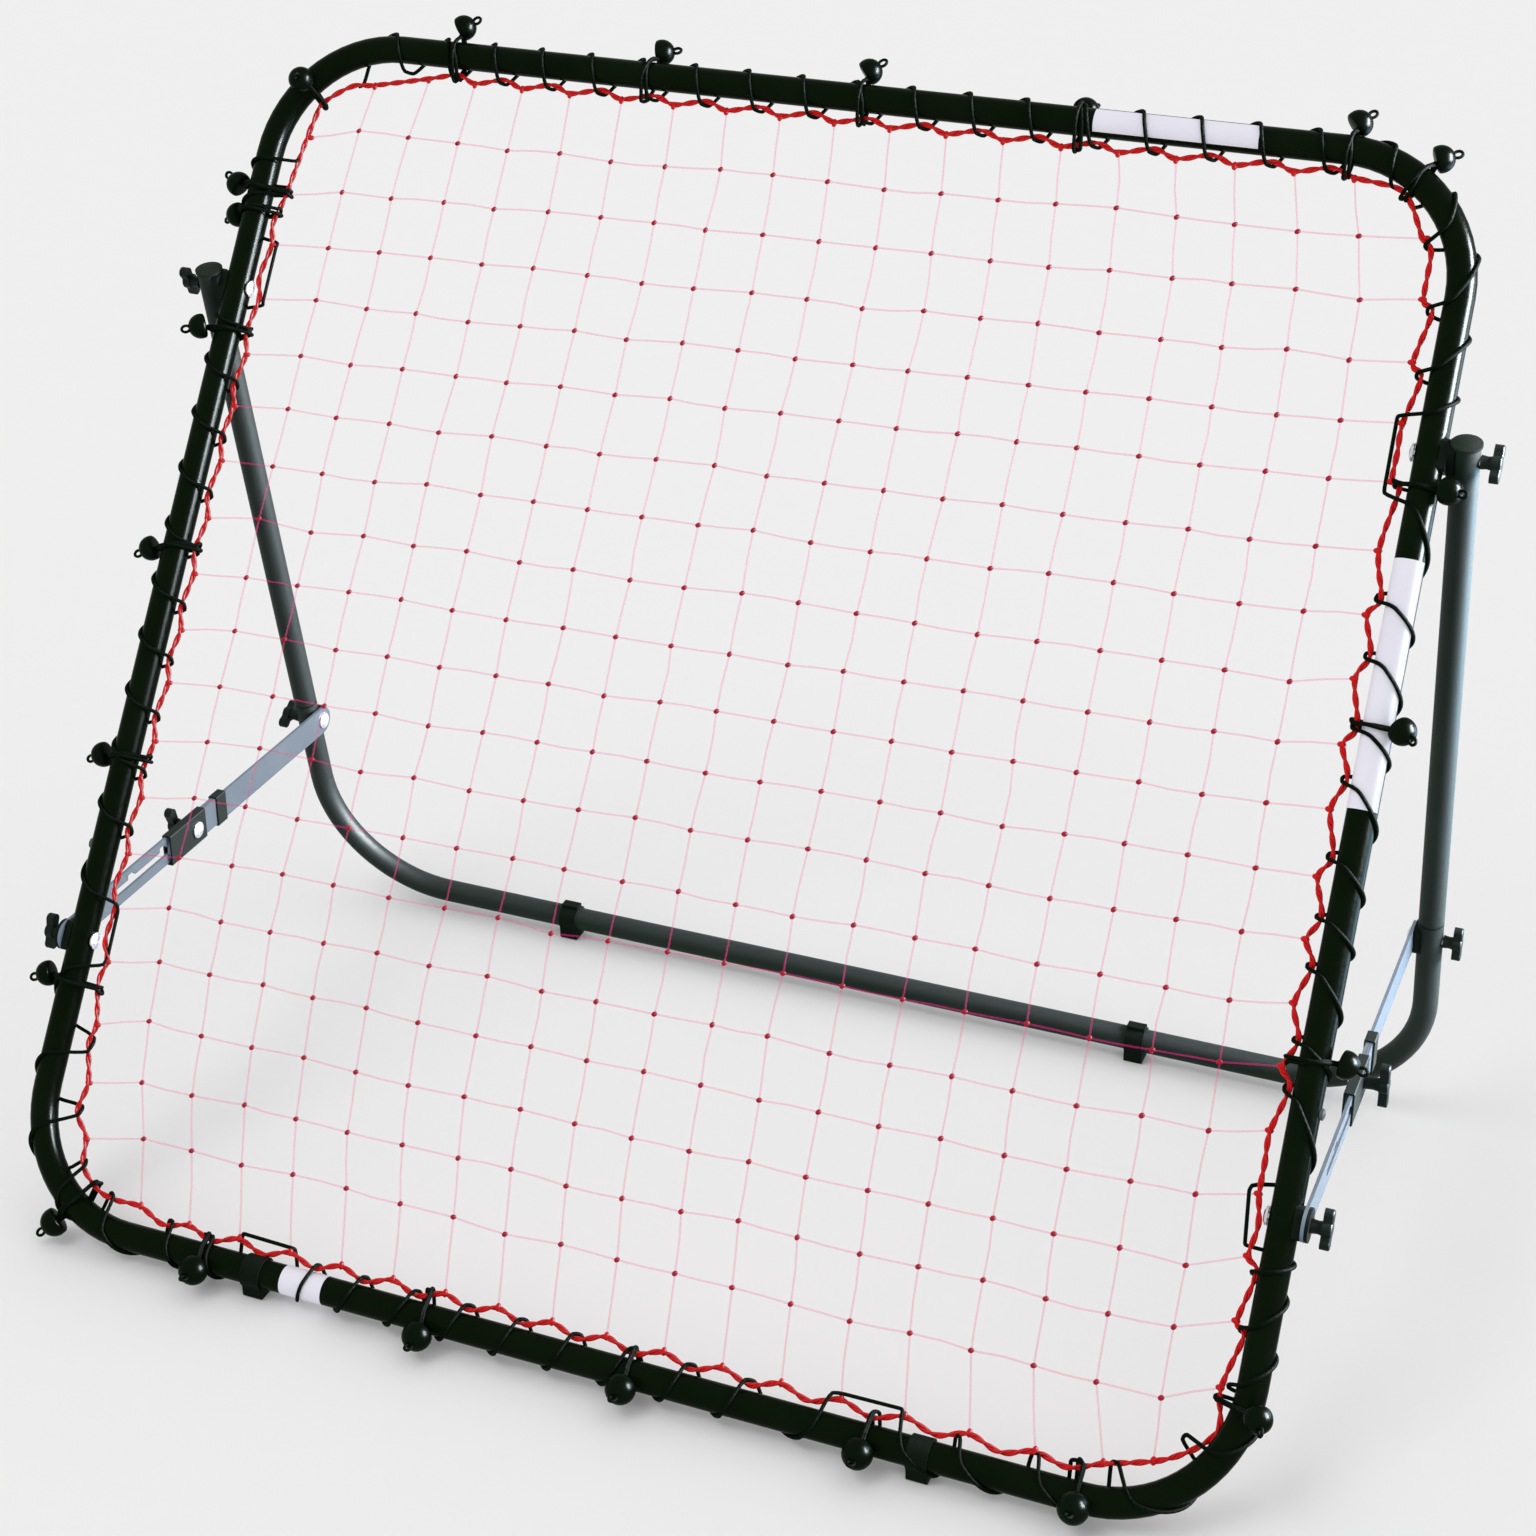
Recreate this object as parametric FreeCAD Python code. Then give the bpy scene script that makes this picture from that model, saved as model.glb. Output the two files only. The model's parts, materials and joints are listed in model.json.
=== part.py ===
import FreeCAD, Part
import math
import os

from FreeCAD import Vector, Rotation, Placement

# Folding pitch-back rebounder: a leaning square tube frame strung with an elastic net,
# held up by a rear U frame and two adjustable slotted struts.
# Millimetres, +Z up, +X to the viewer's right, -Y towards the player.

# Front frame
TUBE_R = 11.0            # outer radius of the front tubes
WALL = 1.2               # tube wall
FRAME_HALF = 489.0       # tube centre to the middle of the frame, sideways
FRAME_H = 978.0          # bottom tube centre to top tube centre, along the frame
CORNER_R = 100.0         # bend radius of the front frame's corners
LEAN = 34.1              # frame leans back from the vertical, degrees
SPLICE_U = 320.0         # where the upper half slides over the lower half
SPIGOT = 45.0            # length of a swaged spigot
SWAGE = 8.0              # length of the shoulder behind a spigot
BUTTON_DOWN = 27.5       # snap button below the front splice
BUTTON_R = 4.2
BUTTON_OUT = 1.6         # button's straight side above the tube
BUTTON_DOME = 1.4
BUTTON_LIP = 1.2         # collar inside the spigot, wider than the hole
LEAF_T = 0.8             # the button's leaf spring
LEAF_W = 7.0
LEAF_L = 24.0

# Rear frame
REAR_TUBE_R = 10.2       # rear tubes, outside radius
HINGE_CELLS = 13.406     # hinge above the net's lower edge in net gaps, between two lacing turns
SPLAY = 11.967           # rear frame leans forward from the vertical, degrees
REAR_R = 115.0           # bend radius of the rear frame
REAR_SPLICE_UP = 202.5   # joint between leg and rear base tube, above the bottom tube's centre
RING_H = 1.8             # flush ring between the leg's end and the base tube

# Feet
FOOT_H = 19.0            # tube centre above the floor
FOOT_LEN = 16.0
FOOT_PAD = 19.0          # width of the pad on the floor
FOOT_SKIN = 1.8          # thickness of the clip round the tube
FOOT_SLIT = 2.4
TAB_W = 9.0              # tab on top of a rear foot
TAB_H = 3.2
TAB_SINK = 0.8
FOOT_CELLS = 5           # net cells from the middle to a foot

# Struts
STRUT_CELLS = 3.411      # strut pivot above the net's lower edge in net gaps
REAR_PIVOT_UP = 184.2    # strut pivot on the rear leg above the bottom tube's centre
BAR_W = 25.0
BAR_T = 2.5
BAR_END = 12.5           # bar beyond its pivot
SLOT_W = 7.0
SLOT_LOW = 62.0          # first end of the slot from the front pivot
NOTCH_FIRST = 89.4
NOTCH_STEP = 47.5
NOTCHES = 3
NOTCH_DEEP = 4.0
SLOT_AFTER = 10.0        # slot past the last notch
GUIDE_L = 14.0           # length of the upper guide sleeve
GUIDE_WALL = 1.6
LOCK_SLEEVE = (-40.0, 14.0)     # ends of the lower guide sleeve, from the lock bolt through it
FRONT_BAR_LAP = 40.0     # front bar beyond the last notch

# Fastenings
BOLT_R = 3.0
HEAD_R = 7.0
HEAD_H = 3.6
FIT = 0.06               # radial clearance of a pin or spigot in its hole
GAP = 0.2                # between flat faces that slide on each other
OPEN_PIVOT = 2.6         # extra hole radius in the rear bar, where the loop is open
SADDLE_WEB = 1.9         # saddle thickness between a tube and a flat bar
SADDLE_H = 24.0
SADDLE_HALF = 9.0        # half width across the tube
SADDLE_WRAP = 7.0        # how far a saddle reaches back along the tube's side
WASHER_R = 12.5          # washer between a front bar and its knob
WASHER_T = 2.4
STEM_R = 5.3
STEM_L = 7.8
SEAT_GAP = 0.3           # knob or bolt head clear of a round tube
KNOB_SPAN = 29.2
KNOB_T = 7.0             # thickness of the cross handle along the bolt
LOBE_R = 4.5
HUB_R = 6.2
KNOB_EDGE = 1.3
LOCK_SPAN = 38.0         # the lock knobs are larger
LOCK_STEM = 11.0

# Caps on the rear tubes
CAP_R = 11.3
CAP_T = 2.2
CAP_DOME = 2.0
CAP_CLEAR = 4.0          # plug ends this far above the hinge bolt

# Net, lacing and ties
NET_SIDE_GAP = 29.0      # side tube's centre to the net's edge cord
NET_LOW = 31.0           # net edge above the bottom tube's centre
NET_TOP_GAP = 20.0       # net edge below the top tube's centre
NET_CELLS = 17
NET_T = 1.8              # twine
NET_EDGE = 3.0           # edge cord
NET_CORNER = 92.0
CORD_R = 1.5             # elastic cord
CORD_SEAT = 0.3          # cord clear of the tube
NET_CLEAR = 0.6          # cord clear of the net's edge cord
LACE_TURNS = 13
TIE_PITCH = 4.2
BALL_R = 11.5
BALL_FLAT = 3.0          # flat base of a ball, from its centre

# Blank labels
LABEL_T = 0.2
LABEL_SEAT = 0.02        # label clear of the tube
TOP_LABEL = (3.696, 6.024)      # ends in net gaps from the middle
SIDE_LABEL = (8.674, 11.975)    # ends in net gaps above the net's lower edge
BAND_LABEL = (-4.527, -3.862)   # ends in net gaps from the middle
TOP_LABEL_ANGLE = 104.0
SIDE_LABEL_ANGLE = 150.0

# Derived values
X = Vector(1, 0, 0)
LEG_X = FRAME_HALF + TUBE_R + 2 * SADDLE_WEB + GAP + REAR_TUBE_R
NET_HALF = FRAME_HALF - NET_SIDE_GAP
NET_HIGH = FRAME_H - NET_TOP_GAP
CELL_X = 2 * NET_HALF / NET_CELLS
CELL_U = (NET_HIGH - NET_LOW) / NET_CELLS
PIVOT_U = NET_LOW + HINGE_CELLS * CELL_U
STRUT_U = NET_LOW + STRUT_CELLS * CELL_U
LEG_TOP = SADDLE_H / 2 + SEAT_GAP    # the legs end just above the hinge's saddles
lean = math.radians(LEAN)
splay = math.radians(SPLAY)
LEG = PIVOT_U * math.cos(lean) / math.cos(splay)
STRUT_V = LEG - REAR_PIVOT_UP
REAR_SPLICE = LEG - REAR_SPLICE_UP
REAR_Y = PIVOT_U * math.sin(lean) + LEG * math.sin(splay)
Y0 = -REAR_Y / 2.0      # the two bottom tubes lie evenly about the origin
front_place = Placement(Vector(0, Y0, FOOT_H), Rotation(X, -LEAN))
HINGE = front_place.multVec(Vector(0, 0, PIVOT_U))
rear_place = Placement(HINGE, Rotation(X, math.degrees(splay)))
STRUT_F = front_place.multVec(Vector(0, 0, STRUT_U))
STRUT_A = rear_place.multVec(Vector(0, 0, -STRUT_V))
span = STRUT_A - STRUT_F
STRUT_L = span.Length
strut_place = Placement(STRUT_F, Rotation(X, math.degrees(math.atan2(span.z, span.y))))
BOLT_S = NOTCH_FIRST + NOTCH_STEP * (NOTCHES - 1)
FOOT_X = FOOT_CELLS * CELL_X
# the two bars of a strut lie either side of this plane
BAR_PLANE = FRAME_HALF + TUBE_R + SADDLE_WEB + GAP / 2

os.makedirs("parts", exist_ok=True)
built = {}


def save(name, shapes):
    """Keep one node for writing; several solids go in as a group."""
    shapes = shapes if isinstance(shapes, list) else [shapes]
    solids = [s for shape in shapes for s in shape.Solids]
    built[name] = solids[0] if len(solids) == 1 else Part.makeCompound(solids)


def put(shape, place):
    """Copy of a shape moved into the object's frame."""
    s = shape.copy()
    s.Placement = place.multiply(s.Placement)
    return s


def mirrored(shape):
    return shape.mirror(Vector(0, 0, 0), X)


def cyl(r, p, direction, length):
    return Part.makeCylinder(r, length, p, direction)


def revolve_x(points, x0):
    """Solid of revolution about the X axis from (distance along X, radius) points."""
    pts = [Vector(x0 + a, r, 0) for a, r in points]
    return Part.Face(Part.makePolygon(pts + pts[:1])).revolve(Vector(0, 0, 0), X, 360)


def smooth(shape, radius, keep=None):
    """Fillet the edges that the test picks out."""
    edges = [e for e in shape.Edges if keep is None or keep(e)]
    return shape.makeFillet(radius, edges) if edges else shape


def u_path(half, z_open, z_shut, bend):
    """Three-sided tube centre line in the XZ plane, open at z_open, closed at z_shut."""
    s = 1.0 if z_shut > z_open else -1.0
    k = bend * (1 - math.sqrt(0.5))
    a = Vector(-half, 0, z_open)
    b = Vector(-half, 0, z_shut - s * bend)
    c = Vector(-half + bend, 0, z_shut)
    m = Vector(-half + k, 0, z_shut - s * k)
    flip = [Vector(-p.x, 0, p.z) for p in (a, b, c, m)]
    edges = [Part.makeLine(a, b), Part.Arc(b, m, c).toShape(), Part.makeLine(c, flip[2]),
             Part.Arc(flip[2], flip[3], flip[1]).toShape(), Part.makeLine(flip[1], flip[0])]
    return Part.Wire(edges), a


def swept(wire, start, along, r):
    ring = Part.Wire(Part.makeCircle(r, start, along))
    return wire.makePipeShell([ring], True, False)


def bent_tube(half, z_open, z_shut, bend, r):
    """Steel tube bent to a U: outer sweep less the bore."""
    wire, start = u_path(half, z_open, z_shut, bend)
    along = Vector(0, 0, 1 if z_shut > z_open else -1)
    return swept(wire, start, along, r).cut(swept(wire, start, along, r - WALL))


def spigot(x, z_step, way, outer):
    """Swaged end that slides into the next tube, standing up from z_step, or down if way is -1."""
    inner = outer - WALL
    pin = inner - FIT
    prof = [(outer, -SWAGE), (outer, 0), (pin, 0), (pin, SPIGOT), (pin - WALL, SPIGOT),
            (pin - WALL, -SWAGE / 2), (inner, -SWAGE)]
    pts = [Vector(x + r, 0, z_step + way * z) for r, z in prof]
    face = Part.Face(Part.makePolygon(pts + pts[:1]))
    return face.revolve(Vector(x, 0, 0), Vector(0, 0, 1), 360)


def cross_hole(x, z, r):
    """Hole across a tube at x, along X."""
    return cyl(r, Vector(x - 2 * TUBE_R, 0, z), X, 4 * TUBE_R)


# Front frame, in its own plane: X sideways, Z up the frame, Y out of its back
upper = bent_tube(FRAME_HALF, SPLICE_U + SWAGE, FRAME_H, CORNER_R, TUBE_R)
lower = bent_tube(FRAME_HALF, SPLICE_U, 0.0, CORNER_R, TUBE_R)
upper = upper.fuse([spigot(-FRAME_HALF, SPLICE_U, -1, TUBE_R),
                    spigot(FRAME_HALF, SPLICE_U, -1, TUBE_R)]).removeSplitter()
for side in (-1, 1):
    button_hole = cyl(BUTTON_R + FIT, Vector(side * FRAME_HALF, 0, SPLICE_U - BUTTON_DOWN),
                      X * side, 2 * TUBE_R)
    upper = upper.cut(button_hole)
    lower = lower.cut(button_hole)
    upper = upper.cut(cross_hole(side * FRAME_HALF, PIVOT_U, BOLT_R + FIT))
    lower = lower.cut(cross_hole(side * FRAME_HALF, STRUT_U, BOLT_R + FIT))
save("front_frame_upper_tube", put(upper, front_place))
save("front_frame_lower_tube", put(lower, front_place))

# Snap buttons of the splices, each on its bent leaf spring inside the spigot
spigot_r = TUBE_R - 2 * WALL - FIT
lip = math.sqrt(spigot_r ** 2 - (BUTTON_R + BUTTON_LIP) ** 2) - 0.25
prof = [(0, lip - BUTTON_LIP), (BUTTON_R + BUTTON_LIP, lip - BUTTON_LIP), (BUTTON_R + BUTTON_LIP, lip),
        (BUTTON_R, lip), (BUTTON_R, TUBE_R + BUTTON_OUT)]
rise = Vector(FRAME_HALF + TUBE_R + BUTTON_OUT + BUTTON_DOME, 0, 0)
dome = math.asin(2 * BUTTON_R * BUTTON_DOME / (BUTTON_R ** 2 + BUTTON_DOME ** 2)) / 2
dome_r = (BUTTON_R ** 2 + BUTTON_DOME ** 2) / (2 * BUTTON_DOME)
dome_mid = rise + Vector(dome_r * (math.cos(dome) - 1), 0, dome_r * math.sin(dome))
pts = [Vector(FRAME_HALF + x, 0, r) for r, x in prof]
button_wire = Part.Wire([Part.makeLine(a, b) for a, b in zip(pts, pts[1:])] +
                        [Part.Arc(pts[-1], dome_mid, rise).toShape(), Part.makeLine(rise, pts[0])])
button = Part.Face(button_wire).revolve(Vector(0, 0, 0), X, 360)
inner_x = FRAME_HALF - math.sqrt(spigot_r ** 2 - LEAF_W ** 2 / 4) + 0.1
outer_x = FRAME_HALF + lip - BUTTON_LIP
turn = (outer_x - inner_x) / 2
leaf_mid = (inner_x + outer_x) / 2
outside = [Vector(outer_x, 0, BUTTON_R), Vector(outer_x, 0, -LEAF_L + turn)]
inside = [Vector(inner_x, 0, -LEAF_L + turn), Vector(inner_x, 0, 0)]
inset_in = [Vector(inner_x + LEAF_T, 0, 0), Vector(inner_x + LEAF_T, 0, -LEAF_L + turn)]
inset_out = [Vector(outer_x - LEAF_T, 0, -LEAF_L + turn), Vector(outer_x - LEAF_T, 0, BUTTON_R)]
leaf_wire = Part.Wire([
    Part.makeLine(*outside),
    Part.Arc(outside[1], Vector(leaf_mid, 0, -LEAF_L), inside[0]).toShape(),
    Part.makeLine(*inside), Part.makeLine(inside[1], inset_in[0]), Part.makeLine(*inset_in),
    Part.Arc(inset_in[1], Vector(leaf_mid, 0, -LEAF_L + LEAF_T), inset_out[0]).toShape(),
    Part.makeLine(*inset_out), Part.makeLine(inset_out[1], outside[0])])
leaf = Part.Face(leaf_wire).extrude(Vector(0, LEAF_W, 0))
leaf.translate(Vector(0, -LEAF_W / 2, 0))
button = button.fuse(leaf).removeSplitter()
button.translate(Vector(0, 0, SPLICE_U - BUTTON_DOWN))
save("splice_buttons", [put(button, front_place), put(mirrored(button), front_place)])

# Rear frame, from the hinge down: two legs and a bent base tube
leg_low = Vector(LEG_X, 0, RING_H - REAR_SPLICE)
leg_l = REAR_SPLICE - RING_H + LEG_TOP
leg = cyl(REAR_TUBE_R, leg_low, Vector(0, 0, 1), leg_l)
leg = leg.cut(cyl(REAR_TUBE_R - WALL, leg_low, Vector(0, 0, 1), leg_l))
leg = leg.cut(cross_hole(LEG_X, 0, BOLT_R + FIT))
base = bent_tube(LEG_X, -REAR_SPLICE - SWAGE, -LEG, REAR_R, REAR_TUBE_R)
base = base.fuse([spigot(-LEG_X, -REAR_SPLICE, 1, REAR_TUBE_R),
                  spigot(LEG_X, -REAR_SPLICE, 1, REAR_TUBE_R)]).removeSplitter()
for side in (-1, 1):
    base = base.cut(cross_hole(side * LEG_X, -STRUT_V, BOLT_R + FIT))
save("rear_leg_right", put(leg, rear_place))
save("rear_leg_left", put(mirrored(leg), rear_place))
save("rear_base_tube", put(base, rear_place))

# Rings between the lower ends of the legs and the base tube's shoulders
ring = cyl(REAR_TUBE_R, Vector(LEG_X, 0, -REAR_SPLICE), Vector(0, 0, 1), RING_H)
ring = ring.cut(cyl(REAR_TUBE_R - WALL, Vector(LEG_X, 0, -REAR_SPLICE), Vector(0, 0, 1), RING_H))
save("rear_splice_rings", [put(ring, rear_place), put(mirrored(ring), rear_place)])

# Domed plugs in the open upper ends of the rear legs
plug_r = REAR_TUBE_R - WALL - FIT
plug_z = BOLT_R + CAP_CLEAR
cap_pts = [Vector(LEG_X, 0, plug_z), Vector(LEG_X + plug_r, 0, plug_z),
           Vector(LEG_X + plug_r, 0, LEG_TOP), Vector(LEG_X + CAP_R, 0, LEG_TOP),
           Vector(LEG_X + CAP_R, 0, LEG_TOP + CAP_T)]
dome_r = (CAP_R ** 2 + CAP_DOME ** 2) / (2 * CAP_DOME)
cap_top = Vector(LEG_X, 0, LEG_TOP + CAP_T + CAP_DOME)
dome_mid = math.asin(CAP_R / dome_r) / 2
cap_mid = cap_top + Vector(dome_r * math.sin(dome_mid), 0, dome_r * (math.cos(dome_mid) - 1))
cap_wire = Part.Wire([Part.makeLine(a, b) for a, b in zip(cap_pts, cap_pts[1:])] +
                     [Part.Arc(cap_pts[-1], cap_mid, cap_top).toShape(),
                      Part.makeLine(cap_top, cap_pts[0])])
cap = Part.Face(cap_wire).revolve(Vector(LEG_X, 0, 0), Vector(0, 0, 1), 360)
save("rear_tube_caps", [put(cap, rear_place), put(mirrored(cap), rear_place)])


def foot(x, y, r, tab):
    """Clip-on floor foot: split ring round the tube, a pad down to the floor, maybe a top tab."""
    ring = cyl(r + FOOT_SKIN, Vector(x - FOOT_LEN / 2, y, FOOT_H), X, FOOT_LEN)
    half = FOOT_PAD / 2
    pts = [Vector(x - FOOT_LEN / 2, y + a, z) for a, z in
           ((-half, 0), (half, 0), (half, FOOT_H * 0.45), (r, FOOT_H), (-r, FOOT_H),
            (-half, FOOT_H * 0.45))]
    pad = Part.Face(Part.makePolygon(pts + pts[:1])).extrude(X * FOOT_LEN)
    pad = smooth(pad, 2.5, lambda e: abs(e.Vertexes[0].Z - e.Vertexes[-1].Z) < 1e-6 and
                 e.Vertexes[0].Z < 1 and abs(e.Vertexes[0].Y - e.Vertexes[-1].Y) < 1e-6)
    parts = [pad]
    if tab:
        parts.append(Part.makeBox(FOOT_LEN, TAB_W, TAB_H, Vector(
            x - FOOT_LEN / 2, y - TAB_W / 2, FOOT_H + r + FOOT_SKIN - TAB_SINK)))
    body = ring.fuse(parts).removeSplitter()
    body = body.cut(cyl(r + FIT, Vector(x - FOOT_LEN, y, FOOT_H), X, 2 * FOOT_LEN))
    slit = Part.makeBox(2 * FOOT_LEN, 3 * FOOT_SKIN, FOOT_SLIT,
                        Vector(x - FOOT_LEN, y + r - FOOT_SKIN, FOOT_H + FOOT_SLIT / 2))
    return body.cut(slit)


save("front_feet", [foot(s * FOOT_X, Y0, TUBE_R, False) for s in (-1, 1)])
save("rear_feet", [foot(s * FOOT_X, Y0 + REAR_Y, REAR_TUBE_R, True) for s in (-1, 1)])


def saddle(side, r):
    """Plastic saddle on the tube's flank; its flat face carries a bar or another saddle."""
    face_x = r + SADDLE_WEB
    s = Part.makeBox(face_x - SADDLE_WRAP, 2 * SADDLE_HALF, SADDLE_H,
                     Vector(SADDLE_WRAP, -SADDLE_HALF, -SADDLE_H / 2))
    s = smooth(s, 3.0, lambda e: abs(e.Vertexes[0].X - e.Vertexes[-1].X) > 1)
    s = s.cut(cyl(r + FIT, Vector(0, 0, -SADDLE_H), Vector(0, 0, 1), 2 * SADDLE_H))
    s = s.cut(cyl(BOLT_R + FIT, Vector(0, 0, 0), X, 2 * TUBE_R))
    return s if side > 0 else mirrored(s)


def at(x, z):
    return Placement(Vector(x, 0, z), Rotation())


front_saddle = put(saddle(1, TUBE_R), at(FRAME_HALF, 0))
rear_saddle = put(saddle(-1, REAR_TUBE_R), at(LEG_X, 0))
pairs = {"front": [], "rear": []}
for z in (PIVOT_U, STRUT_U):
    one = put(put(front_saddle, at(0, z)), front_place)
    pairs["front"] += [one, mirrored(one)]
for z in (0.0, -STRUT_V):
    one = put(put(rear_saddle, at(0, z)), rear_place)
    pairs["rear"] += [one, mirrored(one)]
save("front_saddles", pairs["front"])
save("rear_saddles", pairs["rear"])


def bolt(head_x, end_x):
    """Round-headed bolt along +X: head below head_x, shank to end_x."""
    shank = cyl(BOLT_R, Vector(head_x - 1, 0, 0), X, end_x - head_x + 1)
    head = revolve_x([(0, 0), (0, HEAD_R), (-HEAD_H * 0.45, HEAD_R), (-HEAD_H * 0.85, HEAD_R * 0.6),
                      (-HEAD_H, 0)], head_x)
    return head.fuse(shank).removeSplitter()


def knob(seat_x, angle, span, stem_l):
    """T-shaped hand knob on a bolt end: stem from seat_x, cross handle beyond it."""
    x1 = seat_x + stem_l
    stem = revolve_x([(0, 0), (0, STEM_R), (stem_l * 0.6, STEM_R * 0.88), (stem_l + 1, STEM_R),
                      (stem_l + 1, 0)], seat_x)
    reach = span / 2 - LOBE_R
    bar = cyl(HUB_R, Vector(x1, 0, 0), X, KNOB_T)
    neck = LOBE_R * 0.74
    for s in (-1, 1):
        pts = [Vector(x1, -neck, 0), Vector(x1, neck, 0), Vector(x1, LOBE_R * 0.96, s * reach),
               Vector(x1, -LOBE_R * 0.96, s * reach)]
        arm = Part.Face(Part.makePolygon(pts + pts[:1])).extrude(X * KNOB_T)
        bar = bar.fuse([arm, cyl(LOBE_R, Vector(x1, 0, s * reach), X, KNOB_T)])
    bar = bar.removeSplitter()
    ends = (x1, x1 + KNOB_T)
    bar = smooth(bar, KNOB_EDGE, lambda e: all(abs(v.X - ends[1]) < 1e-6 for v in e.Vertexes) and
                 e.Vertexes)
    body = bar.fuse(stem).removeSplitter()
    body = body.cut(cyl(BOLT_R + FIT, Vector(seat_x - 1, 0, 0), X, stem_l + KNOB_T * 0.6 + 1))
    return body.rotate(Vector(0, 0, 0), X, angle)


front_in = FRAME_HALF - TUBE_R - SEAT_GAP
leg_out = LEG_X + REAR_TUBE_R + SEAT_GAP
bar_in = BAR_PLANE - GAP / 2 - BAR_T
bar_out = BAR_PLANE + GAP / 2 + BAR_T
washer_out = bar_out + GAP + WASHER_T
sleeve_half = BAR_T + GAP / 2 + GUIDE_WALL
grip = STEM_L + KNOB_T * 0.5

hinge_bolt = bolt(front_in, leg_out + grip)
front_bolt = bolt(front_in, washer_out + GAP + grip)
rear_bolt = bolt(bar_in - GAP, leg_out + grip)
mid_bolt = bolt(BAR_PLANE - sleeve_half - GAP,
                BAR_PLANE + sleeve_half + GAP + LOCK_STEM + KNOB_T * 0.5)
hinge_bolt = put(put(hinge_bolt, at(0, PIVOT_U)), front_place)
front_bolt = put(put(front_bolt, at(0, STRUT_U)), front_place)
rear_bolt = put(put(rear_bolt, at(0, -STRUT_V)), rear_place)
mid_place = strut_place.multiply(Placement(Vector(0, BOLT_S, 0), Rotation()))
mid_bolt = put(mid_bolt, mid_place)
save("hinge_bolts", [hinge_bolt, mirrored(hinge_bolt)])
save("front_strut_bolts", [front_bolt, mirrored(front_bolt)])
save("rear_strut_bolts", [rear_bolt, mirrored(rear_bolt)])
save("strut_bolt_right", mid_bolt)
save("strut_bolt_left", mirrored(mid_bolt))

washer = cyl(WASHER_R, Vector(bar_out + GAP, 0, 0), X, WASHER_T)
washer = washer.cut(cyl(BOLT_R + FIT, Vector(bar_out, 0, 0), X, 2 * WASHER_T))
washer = put(put(washer, at(0, STRUT_U)), front_place)
save("strut_washers", [washer, mirrored(washer)])

KNOBS = {
    "hinge_knob": (leg_out, front_place.multiply(at(0, PIVOT_U)), (-6.0, 65.0), KNOB_SPAN, STEM_L),
    "front_strut_knob": (washer_out + GAP, front_place.multiply(at(0, STRUT_U)), (10.0, 18.0),
                         KNOB_SPAN, STEM_L),
    "rear_strut_knob": (leg_out, rear_place.multiply(at(0, -STRUT_V)), (-12.0, -74.0), KNOB_SPAN,
                        STEM_L),
    "strut_lock_knob": (BAR_PLANE + sleeve_half + GAP, mid_place, (5.0, 20.0), LOCK_SPAN,
                        LOCK_STEM),
}
for name, (seat, place, (right, left), wide, stem_l) in KNOBS.items():
    save(name + "_right", put(knob(seat, right, wide, stem_l), place))
    save(name + "_left", mirrored(put(knob(seat, left, wide, stem_l), place)))


def flat_bar(x0, s0, s1):
    """Round-ended flat steel bar along the strut, from s0 to s1."""
    r = BAR_W / 2
    bar = Part.makeBox(BAR_T, s1 - s0 - 2 * r, BAR_W, Vector(x0, s0 + r, -r))
    ends = [cyl(r, Vector(x0, s, 0), X, BAR_T) for s in (s0 + r, s1 - r)]
    return bar.fuse(ends).removeSplitter()


def slot(x0):
    """Slot with notches in its upper edge, where the lock bolt drops in."""
    r = SLOT_W / 2
    end = BOLT_S + SLOT_AFTER
    cut = Part.makeBox(BAR_T * 3, end - SLOT_LOW - 2 * r, SLOT_W, Vector(x0, SLOT_LOW + r, -r))
    cut = cut.fuse([cyl(r, Vector(x0, s, 0), X, BAR_T * 3) for s in (SLOT_LOW + r, end - r)])
    for i in range(NOTCHES):
        s = NOTCH_FIRST + i * NOTCH_STEP
        pts = [Vector(x0, s - 4, r - 1), Vector(x0, s + 8, r - 1), Vector(x0, s + 4, r + NOTCH_DEEP),
               Vector(x0, s - 3, r + NOTCH_DEEP)]
        cut = cut.fuse(Part.Face(Part.makePolygon(pts + pts[:1])).extrude(X * BAR_T * 3))
    return cut.removeSplitter()


def guide(s0, s1):
    """Plastic sleeve from s0 to s1 that keeps the two bars side by side."""
    half_z = BAR_W / 2 + GUIDE_WALL
    body = Part.makeBox(2 * sleeve_half, s1 - s0, 2 * half_z,
                        Vector(BAR_PLANE - sleeve_half, s0, -half_z))
    body = smooth(body, GUIDE_WALL * 0.7, lambda e: abs(e.Vertexes[0].Y - e.Vertexes[-1].Y) > 1)
    room = Part.makeBox(2 * BAR_T + 2 * GAP, 3 * (s1 - s0), BAR_W + 2 * GAP,
                        Vector(BAR_PLANE - BAR_T - GAP, 2 * s0 - s1, -BAR_W / 2 - GAP))
    return body.cut(room)


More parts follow.
